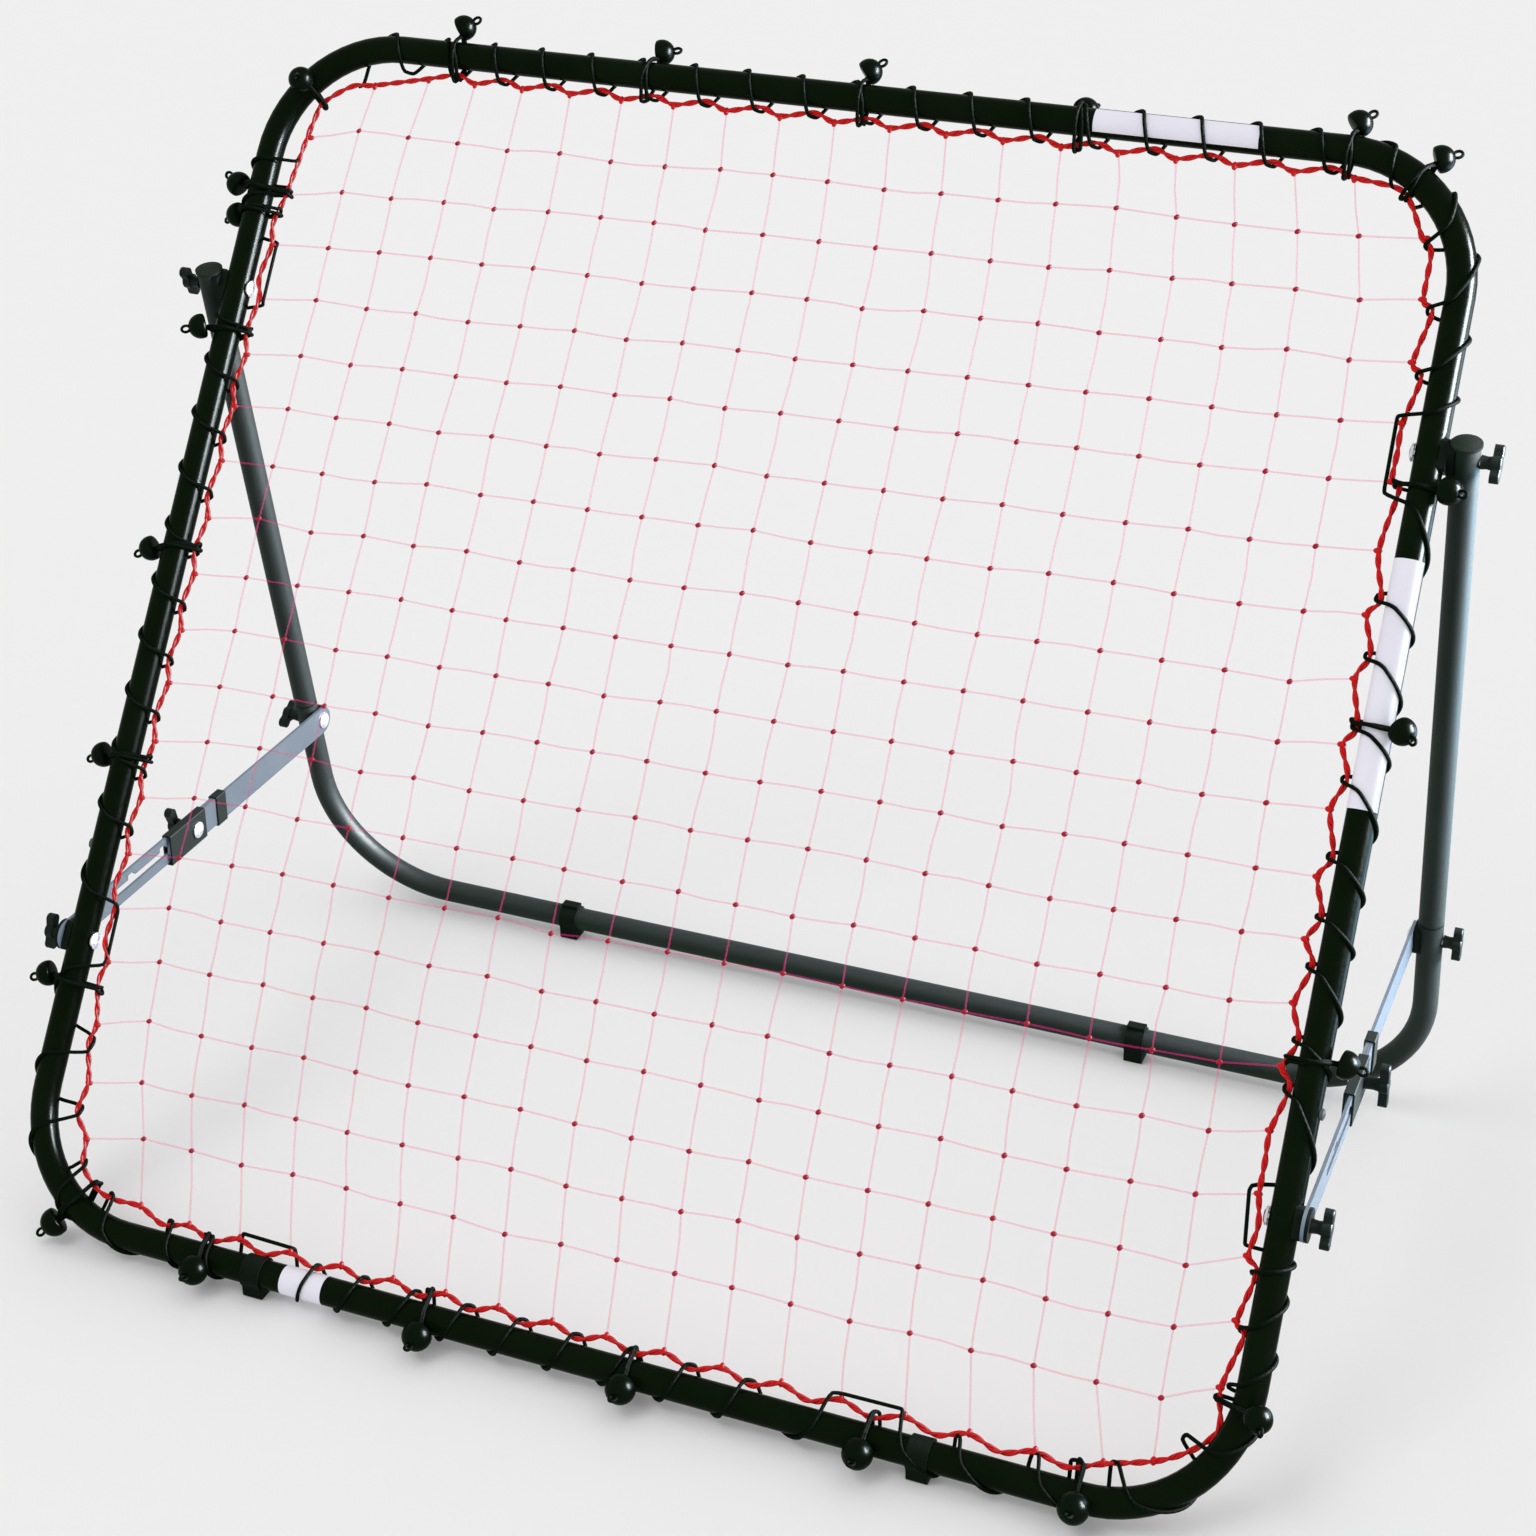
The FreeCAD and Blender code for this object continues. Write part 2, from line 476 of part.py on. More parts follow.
front_bar_end = BOLT_S + FRONT_BAR_LAP + GUIDE_L / 2
rear_bar_end = BOLT_S + LOCK_SLEEVE[0]
x_out = BAR_PLANE + GAP / 2
x_in = BAR_PLANE - GAP / 2 - BAR_T
front_bar = flat_bar(x_out, -BAR_END, front_bar_end + BAR_W / 4)
front_bar = front_bar.cut(slot(x_out - BAR_T))
front_bar = front_bar.cut(cyl(BOLT_R + FIT, Vector(x_out - 1, 0, 0), X, BAR_T + 2))
rear_bar = flat_bar(x_in, rear_bar_end, STRUT_L + BAR_END)
rear_bar = rear_bar.cut(cyl(BOLT_R + FIT, Vector(x_in - 1, BOLT_S, 0), X, BAR_T + 2))
rear_bar = rear_bar.cut(cyl(BOLT_R + OPEN_PIVOT, Vector(x_in - 1, STRUT_L, 0), X, BAR_T + 2))
upper_guide = guide(front_bar_end - GUIDE_L, front_bar_end)
lower_guide = guide(BOLT_S + LOCK_SLEEVE[0], BOLT_S + LOCK_SLEEVE[1])
lower_guide = lower_guide.cut(cyl(BOLT_R + FIT, Vector(BAR_PLANE - 2 * sleeve_half, BOLT_S, 0), X,
                                  4 * sleeve_half))
for side, turn in (("right", lambda s: s), ("left", mirrored)):
    save("strut_front_bar_" + side, turn(put(front_bar, strut_place)))
    save("strut_rear_bar_" + side, turn(put(rear_bar, strut_place)))
    save("strut_upper_guide_" + side, turn(put(upper_guide, strut_place)))
    save("strut_lower_guide_" + side, turn(put(lower_guide, strut_place)))


def rounded_rect(x0, x1, z0, z1, r, y):
    """Closed wire of a rectangle with round corners in the plane Y = y."""
    k = r * (1 - math.sqrt(0.5))
    e = []
    corners = ((x1, z0, 1, -1), (x1, z1, 1, 1), (x0, z1, -1, 1), (x0, z0, -1, -1))
    ends = []
    for x, z, sx, sz in corners:
        side_pt = Vector(x, y, z - sz * r)
        flat_pt = Vector(x - sx * r, y, z)
        mid = Vector(x - sx * k, y, z - sz * k)
        a, b = (flat_pt, side_pt) if sx * sz < 0 else (side_pt, flat_pt)
        ends.append((a, mid, b))
    for i, (a, mid, b) in enumerate(ends):
        e.append(Part.makeLine(ends[i - 1][2], a))
        e.append(Part.Arc(a, mid, b).toShape())
    return Part.Wire(e)


# Net: one flat holed sheet of square mesh, its edge cord round the outside
outer = rounded_rect(-NET_HALF, NET_HALF, NET_LOW, NET_HIGH, NET_CORNER, -NET_T / 2)
inset = NET_EDGE
room = Part.Face(rounded_rect(-NET_HALF + inset, NET_HALF - inset, NET_LOW + inset,
                              NET_HIGH - inset, NET_CORNER - inset, -NET_T / 2))
holes = []
h = NET_T / 2
for i in range(NET_CELLS):
    for j in range(NET_CELLS):
        a = max(-NET_HALF + i * CELL_X + h, -NET_HALF + inset)
        b = min(-NET_HALF + (i + 1) * CELL_X - h, NET_HALF - inset)
        c = max(NET_LOW + j * CELL_U + h, NET_LOW + inset)
        d = min(NET_LOW + (j + 1) * CELL_U - h, NET_HIGH - inset)
        pts = [Vector(a, -h, c), Vector(b, -h, c), Vector(b, -h, d), Vector(a, -h, d)]
        wire = Part.makePolygon(pts + pts[:1])
        if min(i, NET_CELLS - 1 - i) < 2 and min(j, NET_CELLS - 1 - j) < 2:
            piece = Part.Face(wire).common(room)
            if not piece.Faces or piece.Area < 30:
                continue
            wire = piece.Faces[0].OuterWire
        holes.append(wire)
net_face = Part.Face([outer] + holes)
net_face.validate()
net = net_face.extrude(Vector(0, NET_T, 0))
print("net gaps %d" % len(holes))
save("rebound_net", put(net, front_place))


def biarc(p0, t0, p1, t1):
    """Two arcs from p0 to p1 that leave along t0, arrive along t1 and share a tangent."""
    v = p1 - p0
    t = t0 + t1
    k = 2 * (1 - t0.dot(t1))
    if k > 1e-9:
        d = (-v.dot(t) + math.sqrt(v.dot(t) ** 2 + k * v.dot(v))) / k
    else:
        d = v.dot(v) / (4 * v.dot(t1))
    mid = (p0 + t0 * d + p1 - t1 * d) * 0.5
    return [arc_from(p0, t0, mid), arc_from(p1, t1 * -1, mid, True)]


def arc_from(p, t, q, back=False):
    """Arc from p to q that starts along t, as (start, middle, end, radius)."""
    c = q - p
    n = c - t * c.dot(t)
    n.normalize()
    radius = c.dot(c) / (2 * c.dot(n))
    centre = p + n * radius
    m = (p + q) * 0.5 - centre
    m.normalize()
    m = centre + m * radius
    return (q, m, p, radius) if back else (p, m, q, radius)


def winding(frame, hug, reach, pitch, turns, start):
    """Arcs of a cord wound round a tube and out to the net's edge, a quarter turn at a time.

    frame gives the tube's centre, its outward and its lengthwise direction; the cord's
    centre line runs at the radius hug round the tube and at reach from it inside the net.
    """
    centre, out, along = frame
    back = Vector(0, 1, 0)
    # per quarter: place across the tube, direction there, share of the pitch that follows
    quarter = ((-reach, 0, 0, -1), (0, -hug, 1, 0), (hug, 0, 0, 1), (0, hug, -1, 0))
    share = (0.32, 0.24, 0.20, 0.24)
    lengths = (math.hypot(reach, hug), hug * 1.57, hug * 1.57, math.hypot(reach, hug))
    arcs, nodes, t = [], [], start
    for n in range(4 * turns + 1):
        k = (n + 2) % 4
        a, b, ta, tb = quarter[k]
        slope = pitch * (share[k] + share[k - 1]) / (lengths[k] + lengths[k - 1])
        tangent = out * ta + back * tb + along * slope
        tangent.normalize()
        nodes.append((centre + out * a + back * b + along * t, tangent))
        t += pitch * share[k]
    for (p0, t0), (p1, t1) in zip(nodes, nodes[1:]):
        arcs += biarc(p0, t0, p1, t1)
    return arcs, nodes[0]


def cord(arcs, first):
    edges = [Part.Arc(a, m, b).toShape() for a, m, b, r in arcs]
    ring = Part.Wire(Part.makeCircle(CORD_R, first[0], first[1]))
    return Part.Wire(edges).makePipeShell([ring], True, False)


def points(arcs, n=6):
    out = []
    for a, m, b, r in arcs:
        c = Part.Arc(a, m, b)
        lo, hi = c.ParameterRange if hasattr(c, "ParameterRange") else (c.FirstParameter,
                                                                        c.LastParameter)
        out += [c.value(lo + (hi - lo) * i / n) for i in range(n)]
    return out


def least_gap(pts, others=None):
    """Smallest clear distance of a cord to another, or to itself a turn away."""
    best = 1e9
    if others is None:
        skip = 24
        for i, p in enumerate(pts):
            for q in pts[i + skip:]:
                best = min(best, (p - q).Length)
    else:
        for p in pts:
            for q in others:
                best = min(best, (p - q).Length)
    return best - 2 * CORD_R


# Elastic lacing: one winding along each side, a turn for each gap at the net's edge
hug = TUBE_R + CORD_SEAT + CORD_R
mid_u = (NET_LOW + NET_HIGH) / 2
past_edge = NET_EDGE + NET_CLEAR + CORD_R
SIDES = {
    "right": (Vector(FRAME_HALF, 0, mid_u), X, Vector(0, 0, -1), FRAME_HALF - NET_HALF, CELL_U),
    "bottom": (Vector(0, 0, 0), Vector(0, 0, -1), X * -1, NET_LOW, CELL_X),
    "left": (Vector(-FRAME_HALF, 0, mid_u), X * -1, Vector(0, 0, 1), FRAME_HALF - NET_HALF, CELL_U),
    "top": (Vector(0, 0, FRAME_H), Vector(0, 0, 1), X, FRAME_H - NET_HIGH, CELL_X),
}
lace_points = {}
radii = []
for name, (centre, out, along, gap, cell) in SIDES.items():
    start = -cell * (LACE_TURNS / 2.0 - 0.5) - cell * 0.44
    arcs, first = winding((centre, out, along), hug, gap + past_edge, cell, LACE_TURNS, start)
    radii += [r for a, m, b, r in arcs]
    lace_points[name] = points(arcs)
    print("lacing", name, "least gap to itself %.2f mm" % least_gap(lace_points[name]))
    save("lacing_" + name, put(cord(arcs, first), front_place))

# Ball ties: a doubled elastic loop over the lacing, and a plastic ball outside the tube.
# Each has its place in net gaps from the middle, rightwards or up, and the ball's angle in degrees
TIES = {
    "top": ((-6.25, -42), (-2.98, -42), (0.28, -40), (3.51, -35), (6.69, -30)),
    "right": ((4.41, 38), (1.16, 12), (-3.18, 4), (-7.29, 30)),
    "bottom": ((7.04, 62), (4.12, 62), (0.70, 60), (-2.31, 58), (-6.25, 55)),
    "left": ((-5.73, 0), (-2.34, 0), (0.83, 5), (4.28, 35), (5.71, 10), (6.43, 10)),
}
TIE_SIDE = 15.0          # from the middle of a net gap, where the lacing passes
CORNER_TIES = ((1, 1, -15), (-1, 1, 78), (-1, -1, 12))
ball_pts = [Vector(0, 0, -BALL_FLAT), Vector(math.sqrt(BALL_R ** 2 - BALL_FLAT ** 2), 0, -BALL_FLAT)]
tip = Vector(2.2, 0, math.sqrt(BALL_R ** 2 - 2.2 ** 2))
ball_wire = Part.Wire([Part.makeLine(ball_pts[0], ball_pts[1]),
                       Part.Arc(ball_pts[1], Vector(BALL_R, 0, 0), tip).toShape(),
                       Part.makeLine(tip, Vector(2.2, 0, BALL_R + 2.6)),
                       Part.makeLine(Vector(2.2, 0, BALL_R + 2.6), Vector(0, 0, BALL_R + 2.6)),
                       Part.makeLine(Vector(0, 0, BALL_R + 2.6), ball_pts[0])])
ball_shape = Part.Face(ball_wire).revolve(Vector(0, 0, 0), Vector(0, 0, 1), 360)


def tie(frame, gap, t, angle, laced, dip):
    """One tie: its cord's arcs, first node, and the ball; it lies over the lacing if laced.

    dip is how far the net's edge has curved inward there.
    """
    centre, out, along = frame
    over = 2 * CORD_R + CORD_SEAT if laced else 0.0
    reach = gap + past_edge + over + dip
    arcs, first = winding(frame, hug + over, reach, TIE_PITCH, 2, t - TIE_PITCH)
    a = math.radians(angle)
    ray = out * math.cos(a) - Vector(0, 1, 0) * math.sin(a)
    ball = ball_shape.copy()
    seat = hug + over + CORD_R + CORD_SEAT + BALL_FLAT
    ball.Placement = Placement(centre + along * t + ray * seat,
                               Rotation(Vector(0, 0, 1), ray))
    return arcs, first, ball


cords, balls = [], []
worst = 1e9
for name, (centre, out, along, gap, cell) in SIDES.items():
    straight = ((NET_HIGH - NET_LOW) / 2 if along.z else NET_HALF) - NET_CORNER
    for place, angle in TIES[name]:
        t = place * cell * (along.z + along.x)
        near = round(t / cell) * cell
        options = [near + s for s in (-cell - TIE_SIDE, -cell + TIE_SIDE, -TIE_SIDE, TIE_SIDE,
                                      cell - TIE_SIDE, cell + TIE_SIDE)]
        t = min(options, key=lambda o: abs(o - t))
        laced = abs(t) < (LACE_TURNS / 2.0 - 0.2) * cell
        past = max(0.0, abs(t) + TIE_PITCH + CORD_R - straight)
        dip = NET_CORNER - math.sqrt(NET_CORNER ** 2 - past ** 2)
        arcs, first, ball = tie((centre, out, along), gap, t, angle, laced, dip)
        radii += [r for a, m, b, r in arcs]
        worst = min(worst, least_gap(points(arcs), lace_points[name]))
        cords.append(cord(arcs, first))
        balls.append(ball)
for sx, sz, angle in CORNER_TIES:
    k = math.sqrt(0.5)
    out = Vector(sx * k, 0, sz * k)
    along = Vector(sz * k, 0, -sx * k)
    bend = Vector(sx * (FRAME_HALF - CORNER_R), 0, FRAME_H - CORNER_R if sz > 0 else CORNER_R)
    net_bend = Vector(sx * (NET_HALF - NET_CORNER), 0,
                      NET_HIGH - NET_CORNER if sz > 0 else NET_LOW + NET_CORNER)
    centre = bend + out * CORNER_R
    gap = (centre - net_bend).dot(out) - NET_CORNER
    arcs, first, ball = tie((centre, out, along), gap, 0.0, angle, False, CORD_SEAT)
    radii += [r for a, m, b, r in arcs]
    cords.append(cord(arcs, first))
    balls.append(ball)
print("least gap between ties and lacing %.2f mm, least bend radius %.2f mm" %
      (worst, min(radii)))
save("tie_cords", [put(c, front_place) for c in cords])
save("tie_balls", [put(b, front_place) for b in balls])


def wrap(centre, along, ends, angle):
    """Thin blank label round a tube's front between two places, over angle degrees or all round."""
    start, end = ends
    long = (end - start) * 1.2
    before = centre + along * (start - (long - end + start) / 2)
    r0 = TUBE_R + LABEL_SEAT
    ring = cyl(r0 + LABEL_T, centre + along * start, along, end - start)
    ring = ring.cut(cyl(r0, before, along, long))
    if angle < 360:
        out = Vector(0, -1, 0)
        side = along.cross(out)
        pts = [before]
        for q in (-angle / 2, 0, angle / 2):
            q = math.radians(q)
            pts.append(before + (out * math.cos(q) + side * math.sin(q)) * 3 * TUBE_R)
        ring = ring.common(Part.Face(Part.makePolygon(pts + pts[:1])).extrude(along * long))
    return ring


Z = Vector(0, 0, 1)
top_ends, side_ends, band_ends = [[cell * place for place in label] for cell, label in
                                  ((CELL_X, TOP_LABEL), (CELL_U, SIDE_LABEL), (CELL_X, BAND_LABEL))]
save("top_label", put(wrap(Vector(0, 0, FRAME_H), X, top_ends, TOP_LABEL_ANGLE), front_place))
save("side_label", put(wrap(Vector(FRAME_HALF, 0, NET_LOW), Z, side_ends, SIDE_LABEL_ANGLE),
                       front_place))
save("band_label", put(wrap(Vector(0, 0, 0), X, band_ends, 360), front_place))

# The finished frame is moved so that its box is centred over the origin, then written
box = Part.makeCompound(list(built.values())).optimalBoundingBox(False, False)
shift = Vector(0, -(box.YMin + box.YMax) / 2, 0)
for name, shape in built.items():
    shape.translate(shift)
    shape.exportStep("parts/%s.step" % name)
    bad = [i for i, s in enumerate(shape.Solids) if not s.isValid() or s.Volume <= 0]
    print("%-26s solids %3d faces %5d volume %10.1f%s" %
          (name, len(shape.Solids), len(shape.Faces), shape.Volume, " INVALID" if bad else ""))
print("box x %.2f..%.2f y %.2f..%.2f z %.2f..%.2f" %
      (box.XMin, box.XMax, box.YMin + shift.y, box.YMax + shift.y, box.ZMin, box.ZMax))
print("strut %.3f mm at %.3f degrees, splay %.3f degrees" %
      (STRUT_L, math.degrees(math.atan2(span.z, span.y)), math.degrees(splay)))
for name, p in (("hinge", HINGE), ("front strut pivot", STRUT_F), ("rear strut pivot", STRUT_A),
                ("front tube", front_place.Base), ("lock bolt", mid_place.Base)):
    p = p + shift
    print("%-18s y %.3f z %.3f" % (name, p.y, p.z))
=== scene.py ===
"""Looks of the ball rebounder: its net, lacing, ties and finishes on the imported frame."""

import json
import math

import bpy
import numpy as np
from mathutils import Matrix


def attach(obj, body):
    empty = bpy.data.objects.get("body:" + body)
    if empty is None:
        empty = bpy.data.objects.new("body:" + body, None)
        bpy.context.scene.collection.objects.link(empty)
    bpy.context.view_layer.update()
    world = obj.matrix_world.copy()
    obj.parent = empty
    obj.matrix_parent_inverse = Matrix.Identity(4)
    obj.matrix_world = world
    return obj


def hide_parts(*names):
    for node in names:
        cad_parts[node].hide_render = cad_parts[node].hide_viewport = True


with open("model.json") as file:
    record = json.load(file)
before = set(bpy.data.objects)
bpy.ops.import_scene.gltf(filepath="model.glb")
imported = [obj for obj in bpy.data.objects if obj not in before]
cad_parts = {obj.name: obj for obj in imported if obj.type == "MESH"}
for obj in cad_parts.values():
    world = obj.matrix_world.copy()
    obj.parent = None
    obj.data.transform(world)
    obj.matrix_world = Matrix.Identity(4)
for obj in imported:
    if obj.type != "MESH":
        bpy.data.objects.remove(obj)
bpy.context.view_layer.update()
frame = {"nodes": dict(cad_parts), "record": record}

# Camera: its place, and its right, down and forward directions

camera = bpy.data.objects.new("photo_camera", bpy.data.cameras.new("photo_camera"))
bpy.context.scene.collection.objects.link(camera)
bpy.context.scene.camera = camera
camera.data.lens = 68.155
camera.data.sensor_width = 36.0
camera.data.shift_x = 0.005654
camera.data.shift_y = -0.10032
camera.data.dof.use_dof = False
RIGHTWARD = (0.9254746, 0.3787907, -0.0037914)
DOWNWARD = (0.1598986, -0.3997039, -0.9025903)
FORWARD = (-0.3434082, 0.8347181, -0.4304839)
camera.matrix_world = Matrix((
    (RIGHTWARD[0], -DOWNWARD[0], -FORWARD[0], 0.77487),
    (RIGHTWARD[1], -DOWNWARD[1], -FORWARD[1], -1.79283),
    (RIGHTWARD[2], -DOWNWARD[2], -FORWARD[2], 1.43758),
    (0, 0, 0, 1)))

# The plane of the square front tube: x sideways, u up the lean, n out of its face

LEAN = math.radians(34.1)
FOOT = np.array([0.0, -0.27387, 0.019])
SIDEWAYS = np.array([1.0, 0.0, 0.0])
UP_FRAME = np.array([0.0, math.sin(LEAN), math.cos(LEAN)])
OFF_FACE = np.array([0.0, -math.cos(LEAN), math.sin(LEAN)])
TUBE = 0.011            # radius of the steel tube
HALF = 0.489            # from the middle to the tube's centre line
BEND = 0.100            # centre line radius of the corners
STRAIGHT = 2 * (HALF - BEND)
CORNER = math.pi / 2 * BEND
SIDE = STRAIGHT + CORNER
chance = np.random.default_rng(7)


def in_plane(x, u, n=0.0):
    """Points from foot + x * sideways + u * up the frame + n * out of its face."""
    x, u, n = np.broadcast_arrays(x, u, n)
    return FOOT + x[..., None] * SIDEWAYS + u[..., None] * UP_FRAME + n[..., None] * OFF_FACE


def ring(s):
    """Flat place and inward direction on the tube's centre line, clockwise from the top left bend.

    Each side is a straight run and then a quarter circle: (run, bend) while s is under the straight,
    then bend * (sin a, cos a) round the corner's centre; sides follow each other by quarter turns.
    """
    s = np.mod(s, 4 * SIDE)
    side = np.floor(s / SIDE).astype(int)
    along = s - side * SIDE
    a = np.clip((along - STRAIGHT) / BEND, 0.0, None)
    x = np.minimum(along, STRAIGHT) - STRAIGHT / 2 + BEND * np.sin(a)
    y = STRAIGHT / 2 + BEND * np.cos(a)
    c, d = np.array([1, 0, -1, 0])[side], np.array([0, 1, 0, -1])[side]
    inward = np.stack([-np.sin(a) * c - np.cos(a) * d, np.sin(a) * d - np.cos(a) * c], -1)
    return np.stack([x * c + y * d, HALF - x * d + y * c], -1), inward


def nearest_on_ring(places):
    """The ring length s of the point nearest to each flat place, to half a millimetre."""
    s = np.arange(0.0, 4 * SIDE, 0.0005)
    gaps = np.linalg.norm(ring(s)[0][None, :, :] - places[:, None, :], axis=2)
    return s[gaps.argmin(1)]


def smooth_line(points, per_span):
    """Closed Catmull-Rom curve: each span is the cubic through two points whose slopes are half the
    chord between their neighbours."""
    p = np.concatenate([points[-1:], points, points[:2]])
    t = np.linspace(0, 1, per_span, endpoint=False)[None, :, None]
    a, b, c, d = (p[k:len(p) - 3 + k, None, :] for k in range(4))
    return 0.5 * (2 * b + (c - a) * t + (2 * a - 5 * b + 4 * c - d) * t ** 2
                  + (3 * b - a - 3 * c + d) * t ** 3).reshape(-1, points.shape[1])


def unit(v):
    """Each vector over its own length."""
    return v / np.linalg.norm(v, axis=-1, keepdims=True)


def sweep_directions(line, closed):
    """Tangent, side and up along a line, turned as little as possible from point to point.

    A rough side is the cross of the tangent and the axis least along it. The turn between one rough
    side, carried over by the least rotation of the tangents, and the next is summed along the line
    and taken out. On a closed line what is left over is spread evenly.
    """
    ahead = np.roll(line, -1, -2) - np.roll(line, 1, -2)
    if not closed:
        ahead[..., 0, :] = line[..., 1, :] - line[..., 0, :]
        ahead[..., -1, :] = line[..., -1, :] - line[..., -2, :]
    t = unit(ahead)
    rough = unit(np.cross(t, np.eye(3)[np.abs(t).argmin(-1)]))
    over = np.cross(t, rough)
    t1, rough1, over1 = (np.roll(v, -1, -2) for v in (t, rough, over))
    share = (t1 * rough).sum(-1, keepdims=True) / (1 + (t * t1).sum(-1, keepdims=True))
    carried = rough - share * (t + t1)
    turn = np.arctan2((carried * over1).sum(-1), (carried * rough1).sum(-1))
    angle = np.cumsum(turn, -1)
    left = (angle[..., -1:] + math.pi) % (2 * math.pi) - math.pi if closed else 0.0
    angle = np.roll(angle, 1, -1)
    angle[..., 0] = 0.0
    n = line.shape[-2]
    angle = angle - left * np.arange(n) / n
    side = np.cos(angle)[..., None] * rough + np.sin(angle)[..., None] * over
    return t, side, np.cross(t, side)


def sweep(lines, radius, sides, lay, closed=False):
    """Round cords along a stack of lines (k, n, 3): rings of points at line + radius * (cos v * side
    + sin v * up), joined in squares, with flat ends where the line is open. The map that goes with
    it has length over lay in one direction and the turn round the cord in the other."""
    lines = lines if lines.ndim == 3 else lines[None]
    k, n, _ = lines.shape
    _, side, up = sweep_directions(lines, closed)
    v = np.arange(sides) * 2 * math.pi / sides
    r = np.broadcast_to(radius, (k, n))[:, :, None, None]
    rings = lines[:, :, None, :] + r * (np.cos(v)[:, None] * side[:, :, None, :]
                                        + np.sin(v)[:, None] * up[:, :, None, :])
    points = rings.reshape(-1, 3)
    spans = n if closed else n - 1
    c, i, j = np.meshgrid(np.arange(k), np.arange(spans), np.arange(sides), indexing="ij")

    def at(ring_no, point_no):
        return (c * n + ring_no % n) * sides + point_no % sides

    squares = np.stack([at(i, j), at(i, j + 1), at(i + 1, j + 1), at(i + 1, j)], -1).reshape(-1, 4)
    run = np.zeros((k, n + 1))
    run[:, 1:] = np.cumsum(np.linalg.norm(np.roll(lines, -1, 1) - lines, axis=2), 1) / lay
    whole = np.maximum(np.round(run[:, -1:]), 1) / run[:, -1:] if closed else 1.0
    run = run * whole
    u0, u1 = run[c, i], run[c, i + 1]
    v0, v1 = j / sides, (j + 1) / sides
    wrap = np.stack([np.stack(p, -1) for p in ((u0, v0), (u0, v1), (u1, v1), (u1, v0))], -2)
    faces = squares.tolist()
    wrap = wrap.reshape(-1, 2)
    if not closed:
        first = (np.arange(k)[:, None] * n * sides) + np.arange(sides)[::-1]
        last = (np.arange(k)[:, None] * n + n - 1) * sides + np.arange(sides)
        faces += first.tolist() + last.tolist()
        wrap = np.concatenate([wrap, np.zeros((2 * k * sides, 2))])
    return points, faces, wrap


def lathe(profile, sides, centre, axis, across):
    """A turned solid: each (radius, height) of the profile makes the ring centre + height * axis
    + radius * (cos v * across + sin v * (axis x across)); first and last points lie on the axis."""
    other = np.cross(axis, across)
    v = np.arange(sides) * 2 * math.pi / sides
    r, h = profile[1:-1, 0], profile[1:-1, 1]
    rings = (centre + h[:, None, None] * axis
             + r[:, None, None] * (np.cos(v)[:, None] * across + np.sin(v)[:, None] * other))
    m = len(r)
    points = np.concatenate([rings.reshape(-1, 3), [centre + profile[0, 1] * axis,
                                                    centre + profile[-1, 1] * axis]])
    i, j = np.meshgrid(np.arange(m - 1), np.arange(sides), indexing="ij")
    nxt = (j + 1) % sides
    squares = np.stack([i * sides + j, i * sides + nxt, (i + 1) * sides + nxt,
                        (i + 1) * sides + j], -1).reshape(-1, 4)
    j = np.arange(sides)
    low = np.stack([np.full(sides, m * sides), (j + 1) % sides, j], -1)
    high = np.stack([np.full(sides, m * sides + 1), (m - 1) * sides + j,
                     (m - 1) * sides + (j + 1) % sides], -1)
    return points, squares.tolist() + low.tolist() + high.tolist(), None


def joined(parts):
    """Several (points, faces, map) put one after another as one."""
    points, faces, wraps, start = [], [], [], 0
    for p, f, w in parts:
        points.append(p)
        faces += [[v + start for v in face] for face in f]
        wraps.append(np.zeros((sum(map(len, f)), 2)) if w is None else w)
        start += len(p)
    return np.concatenate(points), faces, np.concatenate(wraps)


def add_piece(name, shape, material, slot, body, *nodes):
    """A mesh object from (points, faces, map), smooth, on its body and in place of its CAD nodes."""
    points, faces, wrap = shape
    mesh = bpy.data.meshes.new(name)
    mesh.from_pydata(points, [], faces)
    if wrap is not None:
        mesh.uv_layers.new(name="lay").data.foreach_set("uv", wrap.astype(np.float32).ravel())
    mesh.polygons.foreach_set("use_smooth", np.ones(len(faces), bool))
    mesh.materials.append(material)
    piece = bpy.data.objects.new(name, mesh)
    bpy.context.scene.collection.objects.link(piece)
    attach(piece, body)
    if nodes:
        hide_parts(*nodes)


# Finishes

def material_nodes(name):
    """A new material, its node adder, its linker and its shader."""
    material = bpy.data.materials.new(name)
    material.use_nodes = True
    tree = material.node_tree
    shader = tree.nodes["Principled BSDF"]

    def add(kind, **settings):
        node = tree.nodes.new("ShaderNode" + kind)
        for key, value in settings.items():
            if hasattr(node, key):
                setattr(node, key, value)
            else:
                node.inputs[key.replace("_", " ")].default_value = value
        return node

    return material, add, tree.links.new, shader


def ramp(add, stops):
    """A colour ramp with the given (place, colour) stops."""
    node = add("ValToRGB")
    while len(node.color_ramp.elements) < len(stops):
        node.color_ramp.elements.new(0.5)
    for element, (place, colour) in zip(node.color_ramp.elements, stops):
        element.position = place
        element.color = (*colour, 1)
    return node


